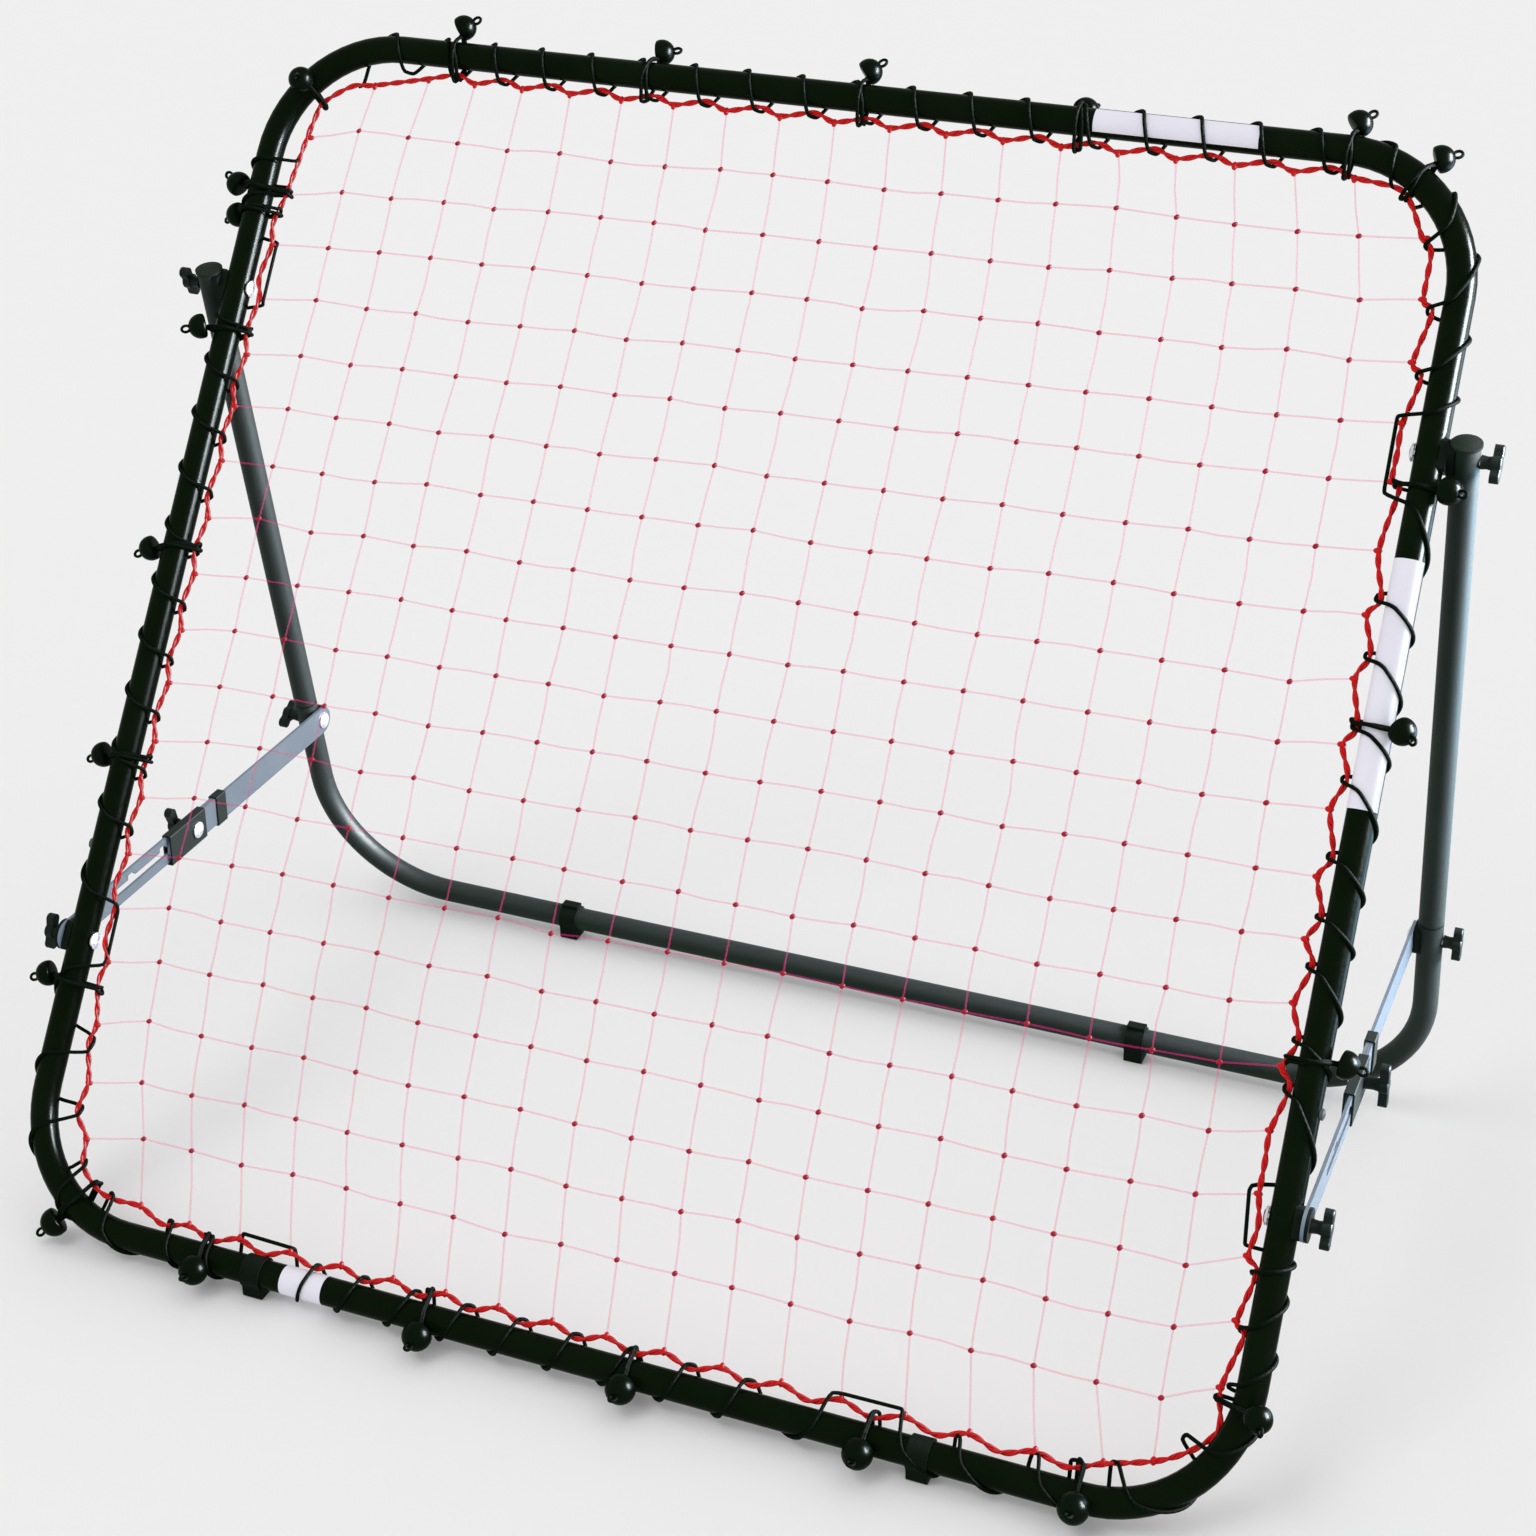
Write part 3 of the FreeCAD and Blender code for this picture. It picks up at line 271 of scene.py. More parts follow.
def moulded(name, colour, worn, rough, specular, grain, depth, metallic=0.0, spread=0.12):
    """Paint, plastic, rubber or plating: two tones by broad noise, fine grain in the roughness and
    the relief. grain is the grain's size in metres, depth the relief's height in metres."""
    material, add, link, shader = material_nodes(name)
    place = add("TexCoord")
    broad = add("TexNoise", Scale=14.0, Detail=3.0, Roughness=0.6)
    fine = add("TexNoise", Scale=0.6 / grain, Detail=2.0, Roughness=0.5)
    link(place.outputs["Object"], broad.inputs["Vector"])
    link(place.outputs["Object"], fine.inputs["Vector"])
    tones = ramp(add, [(0.35, colour), (0.70, worn)])
    link(broad.outputs["Fac"], tones.inputs["Fac"])
    link(tones.outputs["Color"], shader.inputs["Base Color"])
    change = add("MapRange")
    change.inputs["From Min"].default_value = 0.3
    change.inputs["From Max"].default_value = 0.7
    change.inputs["To Min"].default_value = max(rough - spread, 0.02)
    change.inputs["To Max"].default_value = rough + spread
    link(fine.outputs["Fac"], change.inputs["Value"])
    link(change.outputs["Result"], shader.inputs["Roughness"])
    bump = add("Bump", Strength=1.0, Distance=depth)
    link(fine.outputs["Fac"], bump.inputs["Height"])
    link(bump.outputs["Normal"], shader.inputs["Normal"])
    shader.inputs["Specular IOR Level"].default_value = specular
    shader.inputs["Metallic"].default_value = metallic
    return material


def corded(name, colour, groove_shade, rough, specular, strands, depth, sheen=0.0, crossing=True):
    """Cord of plaited or laid yarn: ridges that climb round it both ways, or one way where it is
    laid, as sines of (strands * turn + length) and (strands * turn - length) on its own map. Its
    colour goes darker from the ridges down into the grooves between them: painted shade."""
    material, add, link, shader = material_nodes(name)
    lay = add("UVMap", uv_map="lay")
    parts = add("SeparateXYZ")
    link(lay.outputs["UV"], parts.inputs["Vector"])
    climb = add("Math", operation="MULTIPLY")
    climb.inputs[1].default_value = strands
    link(parts.outputs["Y"], climb.inputs[0])
    waves = []
    for sign in ((1, -1) if crossing else (1,)):
        mixed = add("Math", operation="ADD" if sign > 0 else "SUBTRACT")
        link(parts.outputs["X"], mixed.inputs[0])
        link(climb.outputs[0], mixed.inputs[1])
        turn = add("Math", operation="MULTIPLY")
        turn.inputs[1].default_value = 2 * math.pi
        link(mixed.outputs[0], turn.inputs[0])
        wave = add("Math", operation="SINE")
        link(turn.outputs[0], wave.inputs[0])
        waves.append(wave)
    height = waves[0]
    if crossing:
        height = add("Math", operation="MAXIMUM")
        link(waves[0].outputs[0], height.inputs[0])
        link(waves[1].outputs[0], height.inputs[1])
    level = add("MapRange")
    level.inputs["From Min"].default_value = -1.0
    link(height.outputs[0], level.inputs["Value"])
    # painted shade: the grooves between the ridges take the second, darker colour
    tones = ramp(add, [(0.15, groove_shade), (0.75, colour)])
    link(level.outputs["Result"], tones.inputs["Fac"])
    link(tones.outputs["Color"], shader.inputs["Base Color"])
    bump = add("Bump", Strength=1.0, Distance=depth)
    link(level.outputs["Result"], bump.inputs["Height"])
    link(bump.outputs["Normal"], shader.inputs["Normal"])
    shader.inputs["Roughness"].default_value = rough
    shader.inputs["Specular IOR Level"].default_value = specular
    shader.inputs["Sheen Weight"].default_value = sheen
    return material


front_paint = moulded("front_paint", (0.0022, 0.0058, 0.0014), (0.0036, 0.0080, 0.0028),
                      0.22, 0.02, 0.0016, 0.000010, spread=0.03)
rear_paint = moulded("rear_paint", (0.0042, 0.0120, 0.0075), (0.0080, 0.0170, 0.0125),
                     0.55, 0.16, 0.0016, 0.000015, spread=0.05)
bar_paint = moulded("bar_paint", (0.138, 0.182, 0.245), (0.185, 0.232, 0.300),
                    0.50, 0.30, 0.0012, 0.000015, spread=0.06)
zinc = moulded("zinc", (0.72, 0.73, 0.78), (0.60, 0.62, 0.66), 0.30, 0.5, 0.0008, 0.000010,
               metallic=1.0, spread=0.06)
# The splice buttons are plated metal; this flat grey paints in a dim reflection of that plating.
button_reflection_grey = moulded("button_reflection_grey", (0.105, 0.120, 0.115), (0.080, 0.095, 0.090), 0.60, 0.05,
                       0.0008, 0.000010, spread=0.06)
knob_plastic = moulded("knob_plastic", (0.0035, 0.0090, 0.0060), (0.0075, 0.0150, 0.0110),
                       0.45, 0.10, 0.0009, 0.000030, spread=0.08)
guide_plastic = moulded("guide_plastic", (0.0040, 0.0100, 0.0060), (0.0070, 0.0140, 0.0095),
                        0.50, 0.10, 0.0009, 0.000035, spread=0.08)
saddle_plastic = moulded("saddle_plastic", (0.0025, 0.0062, 0.0035), (0.0045, 0.0090, 0.0060),
                         0.50, 0.06, 0.0009, 0.000030, spread=0.08)
cap_plastic = moulded("cap_plastic", (0.0110, 0.0190, 0.0115), (0.0160, 0.0250, 0.0165),
                      0.60, 0.04, 0.0009, 0.000040, spread=0.08)
foot_rubber = moulded("foot_rubber", (0.0026, 0.0064, 0.0026), (0.0046, 0.0088, 0.0048),
                      0.60, 0.03, 0.0012, 0.000060, spread=0.10)
ball_plastic = moulded("ball_plastic", (0.0020, 0.0056, 0.0018), (0.0034, 0.0078, 0.0032),
                       0.26, 0.02, 0.0010, 0.000010, spread=0.03)
label_film = moulded("label_film", (0.80, 0.79, 0.87), (0.75, 0.74, 0.83), 0.45, 0.03, 0.0010,
                     0.000010, spread=0.05)
# The second colour of each cord is the painted shade in the grooves between its ridges.
lace_yarn = corded("lace_yarn", (0.0026, 0.0070, 0.0028), (0.0010, 0.0028, 0.0012), 0.60, 0.015,
                   4.0, 0.00012, sheen=0.003)
edge_twine = corded("edge_twine", (0.66, 0.014, 0.014), (0.42, 0.006, 0.008), 0.50, 0.08,
                    3.0, 0.00012, crossing=False)
net_twine = corded("net_twine", (1.0, 0.020, 0.330), (0.86, 0.012, 0.250), 0.45, 0.08,
                   3.0, 0.00008, crossing=False)
STRAND_COVER = 0.175    # share of the light that the thin strands stop
net_twine.node_tree.nodes["Principled BSDF"].inputs["Alpha"].default_value = STRAND_COVER
knot_twine = corded("knot_twine", (0.44, 0.012, 0.030), (0.28, 0.006, 0.018), 0.55, 0.08,
                    3.0, 0.00010, crossing=False)

# Each node of the frame gets the finish of its slot, and the splice buttons their own: a flat grey,
# a painted reflection in place of their plated metal

FINISHES = {
    "frame_black": front_paint, "rear_black": rear_paint, "strut_black": bar_paint,
    "bolt_steel": zinc, "cap_plastic": cap_plastic, "saddle_plastic": saddle_plastic,
    "guide_plastic": guide_plastic, "knob_plastic": knob_plastic, "foot_rubber": foot_rubber,
    "net_red": net_twine, "cord_black": lace_yarn, "ball_plastic": ball_plastic,
    "label_white": label_film}
slot_of = {}
for part in frame["record"]["materials"]:
    for node in part.get("nodes", []):
        slot_of[node] = part["slot"]
for name, node in frame["nodes"].items():
    old = node.material_slots[0].material.name.split(".")[0] if node.material_slots else ""
    key = slot_of.get(name, old)
    node.data.materials.clear()
    node.data.materials.append(button_reflection_grey if name == "splice_buttons" else FINISHES[key])

# Net: 19 cords each way. Each row of knots runs straight from a height at the left to one at the
# right, in millimetres, and every knot is about a millimetre off that line.

ROWS_LEFT = np.array([903.7, 853, 805.8, 758.8, 712, 667.1, 620.6, 574.1, 526.7, 482.2, 435.9,
                      392.4, 344.6, 298.2, 253.3, 211.8, 163.1, 117.9, 75]) / 1000
ROWS_RIGHT = np.array([914.6, 869.5, 822.8, 778, 734.7, 684.2, 637.4, 586.7, 542.2, 497.3, 450.6,
                       404.6, 357.3, 311.8, 264.1, 217.5, 171.9, 126.8, 79.7]) / 1000
count = np.arange(19)
left_x = np.interp(count, [0, 6, 14, 15, 16, 17, 18],
                   [-412.6, -419, -418, -416, -412, -406, -395]) / 1000
right_x = np.interp(count, [0, 1, 3, 12, 15, 18], [411.4, 418.4, 421.5, 423, 426, 428.5]) / 1000
share = count[None, :] / 18
knot_x = (left_x[:, None] * (1 - share) + right_x[:, None] * share
          + chance.normal(0, 0.0009, (19, 19)))
knot_u = (ROWS_LEFT[:, None] * (1 - share) + ROWS_RIGHT[:, None] * share
          + chance.normal(0, 0.0011, (19, 19)))

# Ends of the strands on the four sides, at their knots with the edge cord
top_x = np.interp(count, [0, 1, 2, 4, 9, 13, 18],
                  [-407.6, -360, -318, -232.7, -6, 176.8, 398.7]) / 1000
top_u = np.interp(count, [0, 1, 4, 18], [945.6, 956, 956.5, 957.5]) / 1000
bottom_x = np.interp(count, [0, 3, 9, 13, 17, 18], [-382, -246.2, 21, 205.5, 398.2, 432]) / 1000
bottom_u = np.interp(count, [0, 1, 16, 17, 18], [24.5, 20, 22, 26, 36]) / 1000
leftmost_x = np.interp(count, [0, 1, 2, 13, 14, 16, 17, 18],
                       [-456, -465.5, -467.5, -467, -466.5, -458.4, -453.5, -444]) / 1000
leftmost_u = ROWS_LEFT + np.array([-8.5, -8.5, -4.5, -4, -4.5, -3.5, -3.1, -5.2, -4.5, -7.1, -4.5,
                                   -9.5, -8.1, -7.8, -8.3, -8.8, -10.2, -10.7, -10.7]) / 1000
rightmost_x = np.interp(count, [0, 1, 3, 8, 14, 17, 18], [459, 464, 466, 467, 468, 470, 468]) / 1000
rightmost_u = ROWS_RIGHT + np.interp(
    count, [0, 6, 7, 8, 10, 11, 12, 13, 14, 15, 16, 18],
    [4, 4, 8.4, 5.5, 2.4, 4, 6.2, 7.2, 9.9, 12.5, 15.1, 16.3]) / 1000


def between(x, u, part, push_x, push_u):
    """Places part of the way from each point to the next, pushed towards the tube."""
    mid_x = x[:-1] * (1 - part) + x[1:] * part + push_x
    mid_u = u[:-1] * (1 - part) + u[1:] * part + push_u
    return np.stack([mid_x, mid_u], -1)


def alternate(points, lace):
    """Points and the lace places between them, in turn."""
    both = np.empty((len(points) + len(lace), 2))
    both[0::2], both[1::2] = points, lace
    return both


# The edge cord goes from knot to lace place to knot, and freely round the corners
top_lace = between(top_x[1:], top_u[1:], 0.60, 0, 0.0055)
right_part = np.array([18, 22, 50, 10, 72, 60, 70, 50, 67, 61, 38, 55, 29, 50, 50, 22]) / 100
right_push = np.array([75, 75, 0, 60, 75, 75, 75, 75, 75, 75, 75, 75, 75, 0, 30, 75]) / 10000
right_lace = between(rightmost_x[1:18], rightmost_u[1:18], right_part, right_push, 0)
bottom_lace = between(bottom_x[:18], bottom_u[:18], 0.50, 0, -0.0065)[::-1]
left_part = np.array([60] * 13 + [60, 35, 35]) / 100
left_lace = between(leftmost_x[1:18], leftmost_u[1:18], left_part, -0.0045, 0)[::-1]
edge_places = np.concatenate([
    alternate(np.stack([top_x[1:], top_u[1:]], -1), top_lace),
    [[0.431, 0.953], [0.4427, 0.942], [0.4548, 0.9185], [0.4628, 0.909]],
    alternate(np.stack([rightmost_x[1:18], rightmost_u[1:18]], -1), right_lace),
    [[0.4765, 0.1340], [0.4680, 0.0960], [0.4705, 0.066], [0.442, 0.041]],
    alternate(np.stack([bottom_x[:18], bottom_u[:18]], -1)[::-1], bottom_lace),
    [[-0.406, 0.0245], [-0.4234, 0.029], [-0.4405, 0.044], [-0.444, 0.0655], [-0.457, 0.083]],
    alternate(np.stack([leftmost_x[1:18], leftmost_u[1:18]], -1)[::-1], left_lace),
    [[-0.4586, 0.894], [-0.455, 0.914], [-0.451, 0.926], [-0.428, 0.9426], [-0.4076, 0.9456]]])

STRAND = 0.00075        # strand's radius
STRAND_OFF = 0.0004     # rows lie this far in front of the net's plane and columns behind it
STRAND_LAY = 0.004      # length of one ridge along a strand
PLY = 0.0013            # edge ply's radius
EDGE_PLY = 0.00105      # edge's middle to each ply's
PLY_LAY = 0.005
EDGE_PITCH = 0.027      # one turn of the two plies
KNOT = (0.0025, 0.0020, 0.0018)         # half width, height and thickness of a knot in the net
EDGE_KNOT = (0.0034, 0.0024, 0.0021)    # and on the edge
EDGE_KNOT_IN = 0.0008   # edge knot's middle inwards of the edge's
rows_x = np.concatenate([leftmost_x[:, None], knot_x, rightmost_x[:, None]], 1)
rows_u = np.concatenate([leftmost_u[:, None], knot_u, rightmost_u[:, None]], 1)
columns_x = np.concatenate([top_x[:, None], knot_x.T, bottom_x[:, None]], 1)
columns_u = np.concatenate([top_u[:, None], knot_u.T, bottom_u[:, None]], 1)


def strands(x, u, n):
    """Cords through their knots: straight between them, in four steps, with a slack wave of a
    fraction of a millimetre that is nought at the knots."""
    spans = x.shape[1] - 1
    t = np.linspace(0, spans, 4 * spans + 1)
    k = np.arange(spans + 1)
    line_x = np.stack([np.interp(t, k, row) for row in x])
    line_u = np.stack([np.interp(t, k, row) for row in u])
    slack = chance.normal(0, 0.0005, (len(x), spans))[:, np.minimum(t.astype(int), spans - 1)]
    wave = slack * np.sin(math.pi * t) ** 2
    return in_plane(line_x + wave, line_u + wave, n)


add_piece(
    "net_strands", joined([
        sweep(strands(rows_x, rows_u, STRAND_OFF), STRAND, 6, STRAND_LAY),
        sweep(strands(columns_x, columns_u, -STRAND_OFF), STRAND, 6, STRAND_LAY)]),
    net_twine, "net_red", "front_frame")


def knots(x, u, wide, high, thick, turned):
    """Small knots: rings of six points, wide and high in the plane and thick out of it, between two
    poles along the way that the knot is pulled, all shrunk towards the poles by a sine."""
    across, along = 6, 4
    a = np.linspace(0, math.pi, along + 2)[1:-1]
    b = np.arange(across) * 2 * math.pi / across
    ax, ux = np.cos(turned), np.sin(turned)
    i = (wide * np.cos(a))[None, :, None] * np.ones(across)
    j = (high * np.sin(a))[None, :, None] * np.cos(b)
    k = (thick * np.sin(a))[None, :, None] * np.sin(b)
    px = x[:, None, None] + i * ax[:, None, None] - j * ux[:, None, None]
    pu = u[:, None, None] + i * ux[:, None, None] + j * ax[:, None, None]
    body = in_plane(px, pu, k).reshape(len(x), -1, 3)
    ends = np.stack([in_plane(x + s * wide * ax, u + s * wide * ux) for s in (1, -1)], 1)
    points = np.concatenate([body, ends], 1)
    per = along * across + 2
    p, q = np.meshgrid(np.arange(along - 1), np.arange(across), indexing="ij")
    nxt = (q + 1) % across
    squares = np.stack([p * across + q, (p + 1) * across + q, (p + 1) * across + nxt,
                        p * across + nxt], -1).reshape(-1, 4)
    q = np.arange(across)
    first = np.stack([np.full(across, per - 2), q, (q + 1) % across], -1)
    last = np.stack([np.full(across, per - 1), (along - 1) * across + (q + 1) % across,
                     (along - 1) * across + q], -1)
    base = np.arange(len(x))[:, None, None] * per
    faces = ((base + squares[None]).reshape(-1, 4).tolist()
             + (base + first[None]).reshape(-1, 3).tolist()
             + (base + last[None]).reshape(-1, 3).tolist())
    return points.reshape(-1, 3), faces, None


add_piece(
    "net_knots", knots(knot_x.ravel(), knot_u.ravel(), *KNOT,
                       math.radians(38) + chance.normal(0, 0.2, 361)),
    knot_twine, "net_red", "front_frame")
add_piece(
    "edge_knots", joined([
        knots(x, u, *EDGE_KNOT, np.full(19, turned)) for x, u, turned in (
            (top_x, top_u - EDGE_KNOT_IN, math.pi / 2),
            (bottom_x, bottom_u + EDGE_KNOT_IN, math.pi / 2),
            (leftmost_x + EDGE_KNOT_IN, leftmost_u, 0.0),
            (rightmost_x - EDGE_KNOT_IN, rightmost_u, 0.0))]),
    edge_twine, "net_red", "front_frame")

edge_flat = smooth_line(edge_places, 14)
edge_step = np.linalg.norm(np.roll(edge_flat, -1, 0) - edge_flat, axis=1)
edge_run = np.concatenate([[0], np.cumsum(edge_step)[:-1]])
edge_turns = round(edge_step.sum() / EDGE_PITCH)
edge_across = unit(np.roll(edge_flat, -1, 0) - np.roll(edge_flat, 1, 0))[:, ::-1] * [1, -1]


def ply(start):
    """One of the edge's two cords: it winds round the edge line, EDGE_PLY away from it."""
    a = start + 2 * math.pi * edge_turns * edge_run / edge_step.sum()
    place = edge_flat + EDGE_PLY * np.cos(a)[:, None] * edge_across
    return in_plane(place[:, 0], place[:, 1], EDGE_PLY * np.sin(a))


add_piece(
    "net_edge", joined([sweep(ply(a), PLY, 7, PLY_LAY, True) for a in (0.0, math.pi)]),
    edge_twine, "net_red", "front_frame", "rebound_net")

# Lacing: a black cord round tube and net edge, one turn to a mesh

CORD = 0.0015           # cord's radius
CORD_LAY = 0.0045       # length of one ridge along the cord
HUG = TUBE + CORD + 0.0002          # tube's middle to the cord's
EDGE_HUG = 2 * EDGE_PLY + CORD      # net edge's middle to the cord's


def belt(turn, rounds):
    """Where a taut loop round several circles runs: offset inwards and out of the plane.

    rounds is a list of (inwards, off, radius); turn is the direction that the loop faces there, from
    the edge round behind the tube. Of all circles it touches the one that reaches farthest that way.
    """
    face = np.stack([np.cos(turn), -np.sin(turn)])
    reach = np.stack([a * face[0] + b * face[1] + r for a, b, r in rounds])
    best = reach.argmax(0)[None]
    a, b, r = (np.take_along_axis(np.stack([np.broadcast_to(c[k], turn.shape) for c in rounds]),
                                  best, 0)[0] for k in range(3))
    return a + r * face[0], b + r * face[1]


def place_on_ring(s, inwards, off):
    """World points at a distance inwards of the tube's centre line and off the frame's face."""
    place, inward = ring(s)
    place = place + inwards[..., None] * inward
    return in_plane(place[..., 0], place[..., 1], off)


# Past the bolts and the feet the cord doesn't go round. It lies along the net's edge, from the first
# to the second place of each pair.
STRAIGHT_RUNS = np.array([
    [[-0.4668, 0.8007], [-0.4668, 0.7523]], [[-0.4668, 0.2440], [-0.4664, 0.2057]],
    [[-0.2889, 0.0215], [-0.2454, 0.0205]], [[0.2050, 0.0225], [0.2500, 0.0230]],
    [[0.4690, 0.1945], [0.4650, 0.2310]], [[0.4655, 0.7349], [0.4650, 0.7840]]])
RUN_REACH = 0.07        # summed distance within which two lace places belong to a straight run
TURN_STEPS = 36         # points to a turn
OUTER_END = 0.56        # share of a turn until the cord has passed the tube's outer side
FACE_END = 0.82         # and until it has crossed the face


def laced(places, slant, first):
    """The lacing through a row of lace places: turn k goes from one place behind the tube, over its
    outer side and across its face to the next, or the other way round, face first. slant is the
    share of the way, for each turn, that it covers across the face; the rest is mostly behind the
    tube. The two places nearest to each straight run move to its ends, and the way round changes
    there; first is the way before the first run, 1 for behind first and -1 for face first."""
    pairs = np.stack([places[:-1], places[1:]], 1)
    miss = np.linalg.norm(pairs[:, None] - STRAIGHT_RUNS[None], axis=3).sum(2)
    reached = miss.min(0) < RUN_REACH
    near = miss.argmin(0)[reached]
    places = places.copy()
    places[near], places[near + 1] = STRAIGHT_RUNS[reached].transpose(1, 0, 2)
    straight = np.isin(np.arange(len(places) - 1), near)
    sense = first * (-1) ** np.cumsum(straight)
    s = np.unwrap(nearest_on_ring(places), period=4 * SIDE)
    reach = ((places - ring(s)[0]) * ring(s)[1]).sum(1)
    turns = len(places) - 1
    t = np.arange(turns * TURN_STEPS + 1) / TURN_STEPS
    k = np.minimum(t.astype(int), turns - 1)
    part = t - k
    forth = np.where(sense[k] > 0, part, 1 - part)
    rise = np.clip(forth / OUTER_END, 0, 1) ** 1.5 * (1 - slant[k]) * FACE_END
    cross = np.clip((forth - OUTER_END) / (FACE_END - OUTER_END), 0, 1) * slant[k]
    rest = np.clip((forth - FACE_END) / (1 - FACE_END), 0, 1) * (1 - slant[k]) * (1 - FACE_END)
    way = np.where(sense[k] > 0, rise + cross + rest, 1 - rise - cross - rest)
    way = np.where(straight[k], part, way)
    at = s[k] + (s[k + 1] - s[k]) * way
    reach_at = reach[k] + (reach[k + 1] - reach[k]) * np.where(straight[k], part, part > 0.5)
    inwards, off = belt(np.where(straight[k], 0, sense[k] * part * 2 * math.pi),
                        [(0.0, 0.0, HUG), (reach_at, 0.0, EDGE_HUG)])
    line = place_on_ring(at, inwards, off)
    kernel = np.array([1, 2, 3, 2, 1]) / 9
    return np.stack([np.convolve(np.pad(line[:, i], 2, "edge"), kernel, "valid")
                     for i in range(3)], -1)


bottom_row = bottom_lace[::-1]
long_run = np.concatenate([
    [[-0.4651, 0.8758], [-0.4675, 0.850]], left_lace[::-1][:14], left_lace[:1],
    [[-0.4568, 0.0845], [-0.4411, 0.0448], [-0.4105, 0.0255], [-0.3528, 0.0170]],
    bottom_row[1:4], [[-0.2204, 0.0135]], bottom_row[4:14],
    [[0.2930, 0.0155], [0.3500, 0.0180], [0.4060, 0.0260], [0.4520, 0.0560], [0.4760, 0.0985],
     [0.4765, 0.1370]], right_lace[::-1], [[0.4612, 0.9139], [0.4460, 0.9430]]])
long_slant = np.interp(np.arange(len(long_run) - 1),
                       [3, 4, 19, 20, 32, 34, 35, 43, 54, 57],
                       [0.20, 0.30, 0.30, 0.20, 0.20, 0.65, 0.40, 0.42, 0.40, 0.60])
top_run = np.concatenate([[[-0.4240, 0.9460], [-0.3780, 0.9625]], top_lace, [[0.4300, 0.9560]]])
long_cord = laced(long_run, long_slant, -1)
top_cord = laced(top_run, np.full(len(top_run) - 1, 0.12), 1)
add_piece(
    "lacing", joined([sweep(line, CORD, 8, CORD_LAY) for line in (top_cord, long_cord)]),
    lace_yarn, "cord_black", "front_frame",
    "lacing_top", "lacing_right", "lacing_bottom", "lacing_left")

# Ties: a doubled cord round tube and net edge with a ball. Each row has the ball's place (x, u), the
# angle of its seat from outwards to the face, how far along the ring from there the cord crosses the
# tube, in millimetres, and how far the ball leans along the ring, in degrees.

TIES = np.array([
    [-0.3395, 0.978, 0, 5, 55], [-0.1655, 0.978, -20, -2, 75], [0.0120, 0.978, -10, 4, 45],
    [0.1850, 0.978, -50, 5, 20], [0.3925, 0.978, -15, 1, 40], [0.489, 0.7360, 28, -2, 10],
    [0.489, 0.5626, 35, -2, 30], [0.489, 0.3290, 0, 5, 10], [0.4885, 0.0856, 60, 0, 30],
    [0.3877, 0, 75, 10, 0], [0.2302, 0, 65, -2, 0], [0.0467, 0, 63, 4, 0],
    [-0.1203, 0, 55, 6, 0], [-0.3143, 0, 65, 7, 0], [-0.489, 0.1838, 5, -4, -25],
    [-0.489, 0.3643, -5, 4, -25], [-0.489, 0.5368, 0, 8, -30], [-0.489, 0.7233, 30, 4, -25],
    [-0.489, 0.8248, -20, 5, -20], [-0.489, 0.8488, 0, -3, 30],
    [0.4446, 0.9611, -10, 2, 30], [-0.4675, 0.9399, 100, -3, 0], [-0.4407, 0.0144, 10, -6, 10]])
BALL = 0.0115           # ball's radius along the bottom
SMALL_BALL = 0.9        # size of those at the sides and the top against it
SEAT = 0.0205           # tube's middle to the ball's
MOUTH = 0.0100          # ball's middle to the mouth where its eye comes out
NECK = 0.0150           # tube's middle to the cords' neck below the ball
NECK_ROUND = 0.0020     # neck's radius
TIE_OVER = 0.0014       # how far the second turn lies over the first
TIE_SHIFT = 0.0019      # half the distance between a tie's two turns
EYE = (0.0034, 0.0026)  # half length and half width of the eye on a ball
EYE_CORD = 0.0012       # radius of its cord
tie_s = nearest_on_ring(TIES[:, :2])
edge_gap = np.linalg.norm(edge_flat[None] - ring(tie_s)[0][:, None, :], axis=2).min(1)


def tie_line(s, angle, gap, lean, shift):
    """One turn of a tie's cord: a taut loop round tube, net edge and the ball's neck. It starts at
    the ball and gets lean along the tube with (1 - cosine of the way round) / 2; shift parts the two
    turns, so that they cross."""
    start = math.pi + angle
    turn = start + np.linspace(0, 2 * math.pi, 61)[:-1]
    neck = (-NECK * math.cos(angle), NECK * math.sin(angle), NECK_ROUND)
    lift = TIE_OVER if shift > 0 else 0.0
    inwards, off = belt(turn, [(0.0, 0.0, HUG + lift), (gap, 0.0, EDGE_HUG + lift), neck])
    way = np.cos(turn - start)
    return place_on_ring(s + lean * (1 - way) / 2 + shift * np.where(way > 0, 0.5 * way, 1.3 * way),
                         inwards, off)


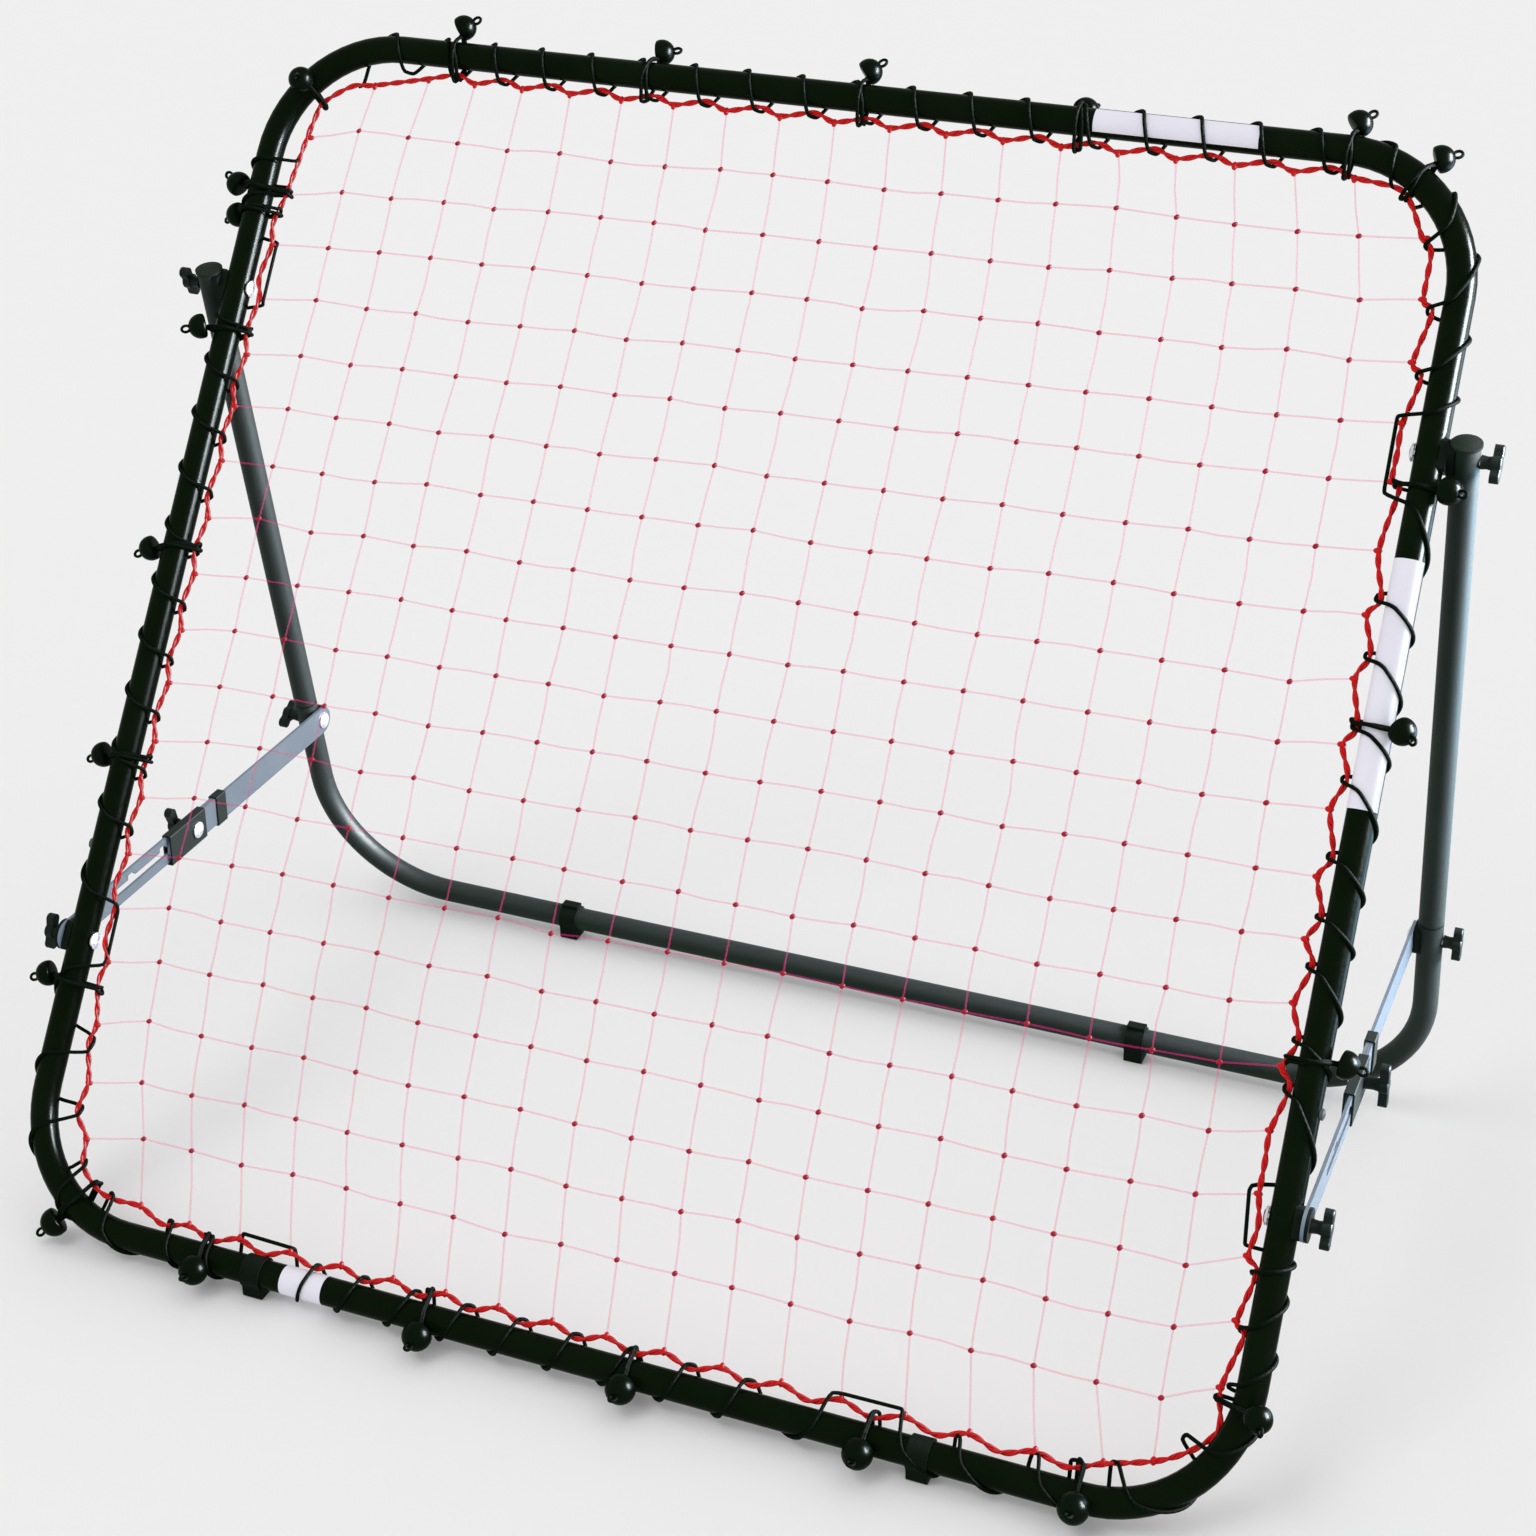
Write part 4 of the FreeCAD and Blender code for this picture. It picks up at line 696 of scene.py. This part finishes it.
tie_loops, balls, eyes = [], [], []
dome = np.linspace(-0.30, 1.33, 12)
ball_profile = np.concatenate([
    [[0, -0.0048]], [[0.0080, -0.0048]], [[0.0100, -0.0042]],
    np.stack([BALL * np.cos(dome), BALL * np.sin(dome)], -1), [[0.0022, 0.0108]], [[0, MOUTH]]])
for (x, u, angle, lean, tilt), s, gap in zip(TIES, tie_s, edge_gap):
    angle, tilt = math.radians(angle), math.radians(tilt)
    centre, inward = ring(s)
    out = in_plane(*-inward) - FOOT
    along = np.cross(out, OFF_FACE)
    ray = out * math.cos(angle) + OFF_FACE * math.sin(angle)
    size = 1.0 if u < 0.02 else SMALL_BALL
    axis = ray * math.cos(tilt) + along * math.sin(tilt)
    across = along * math.cos(tilt) - ray * math.sin(tilt)
    middle = in_plane(*centre) + ray * (SEAT + 0.004 * abs(math.sin(tilt)))
    balls.append(lathe(ball_profile * size, 28, middle, axis, across))
    for shift in (-TIE_SHIFT, TIE_SHIFT):
        tie_loops.append(tie_line(s, angle, gap, lean / 1000, shift))
    tip = middle + axis * MOUTH * size
    v = np.linspace(0, 2 * math.pi, 21)[:-1]
    eyes.append(tip + np.outer(EYE[0] - EYE[0] * np.cos(v), axis)
                + np.outer(EYE[1] * np.sin(v), across))
add_piece(
    "tie_loops", joined([sweep(np.stack(tie_loops), CORD, 8, CORD_LAY, True),
                         sweep(np.stack(eyes), EYE_CORD, 8, CORD_LAY, True)]),
    lace_yarn, "cord_black", "front_frame", "tie_cords")
add_piece("tie_domes", joined(balls), ball_plastic, "ball_plastic", "front_frame", "tie_balls")

# Floor and light

floor_mesh = bpy.data.meshes.new("floor")
floor_mesh.from_pydata([(-9, -9, 0), (9, -9, 0), (9, 14, 0), (-9, 14, 0)], [], [(0, 1, 2, 3)])
floor = bpy.data.objects.new("floor", floor_mesh)
bpy.context.scene.collection.objects.link(floor)
floor_paint = moulded("floor_paint", (0.872, 0.872, 0.872), (0.868, 0.868, 0.868), 0.9, 0.0, 0.004,
                      0.0, spread=0.02)
floor_mesh.materials.append(floor_paint)

world = bpy.data.worlds.new("studio")
bpy.context.scene.world = world
world.use_nodes = True
world.node_tree.nodes["Background"].inputs["Color"].default_value = (1, 1, 1, 1)
world.node_tree.nodes["Background"].inputs["Strength"].default_value = 0.86


def panel(name, place, x, y, wide, high, bright, colour):
    """A soft box centred at place, x and y along its sides, seen only in glossy surfaces; bright is
    its radiance, that is watts over pi and over its area."""
    lamp = bpy.data.lights.new(name, "AREA")
    lamp.shape = "RECTANGLE"
    lamp.size, lamp.size_y = wide, high
    lamp.energy = bright * math.pi * wide * high
    lamp.color = colour
    box = bpy.data.objects.new(name, lamp)
    bpy.context.scene.collection.objects.link(box)
    x, y = unit(np.array(x, float)), unit(np.array(y, float))
    z = np.cross(x, y)
    box.matrix_world = Matrix([[x[i], y[i], z[i], place[i]] for i in range(3)] + [[0, 0, 0, 1]])
    box.visible_diffuse = False
    box.visible_camera = False


panel("side_window", in_plane(2.5, 1.75, 0.05), -OFF_FACE, UP_FRAME, 1.0, 1.8, 540.0,
      (0.86, 0.94, 1.0))
panel("back_window", (2.5, 1.75, 0.55), (0, 1, 0), (0, 0, 1), 1.0, 0.9, 20.0, (0.80, 0.91, 1.0))
panel("low_window", (1.10, 0.55, 0.275), (0, 1, 0), (0, 0, 1), 0.9, 0.55, 21.0, (0.46, 0.75, 1.0))
sun = bpy.data.objects.new("soft_sun", bpy.data.lights.new("soft_sun", "SUN"))
sun.data.energy = 0.5
sun.data.angle = math.radians(25)
sun.rotation_euler = (math.radians(25), math.radians(-20), 0)
sun.visible_glossy = False
bpy.context.scene.collection.objects.link(sun)

bpy.context.scene.view_settings.view_transform = "Standard"
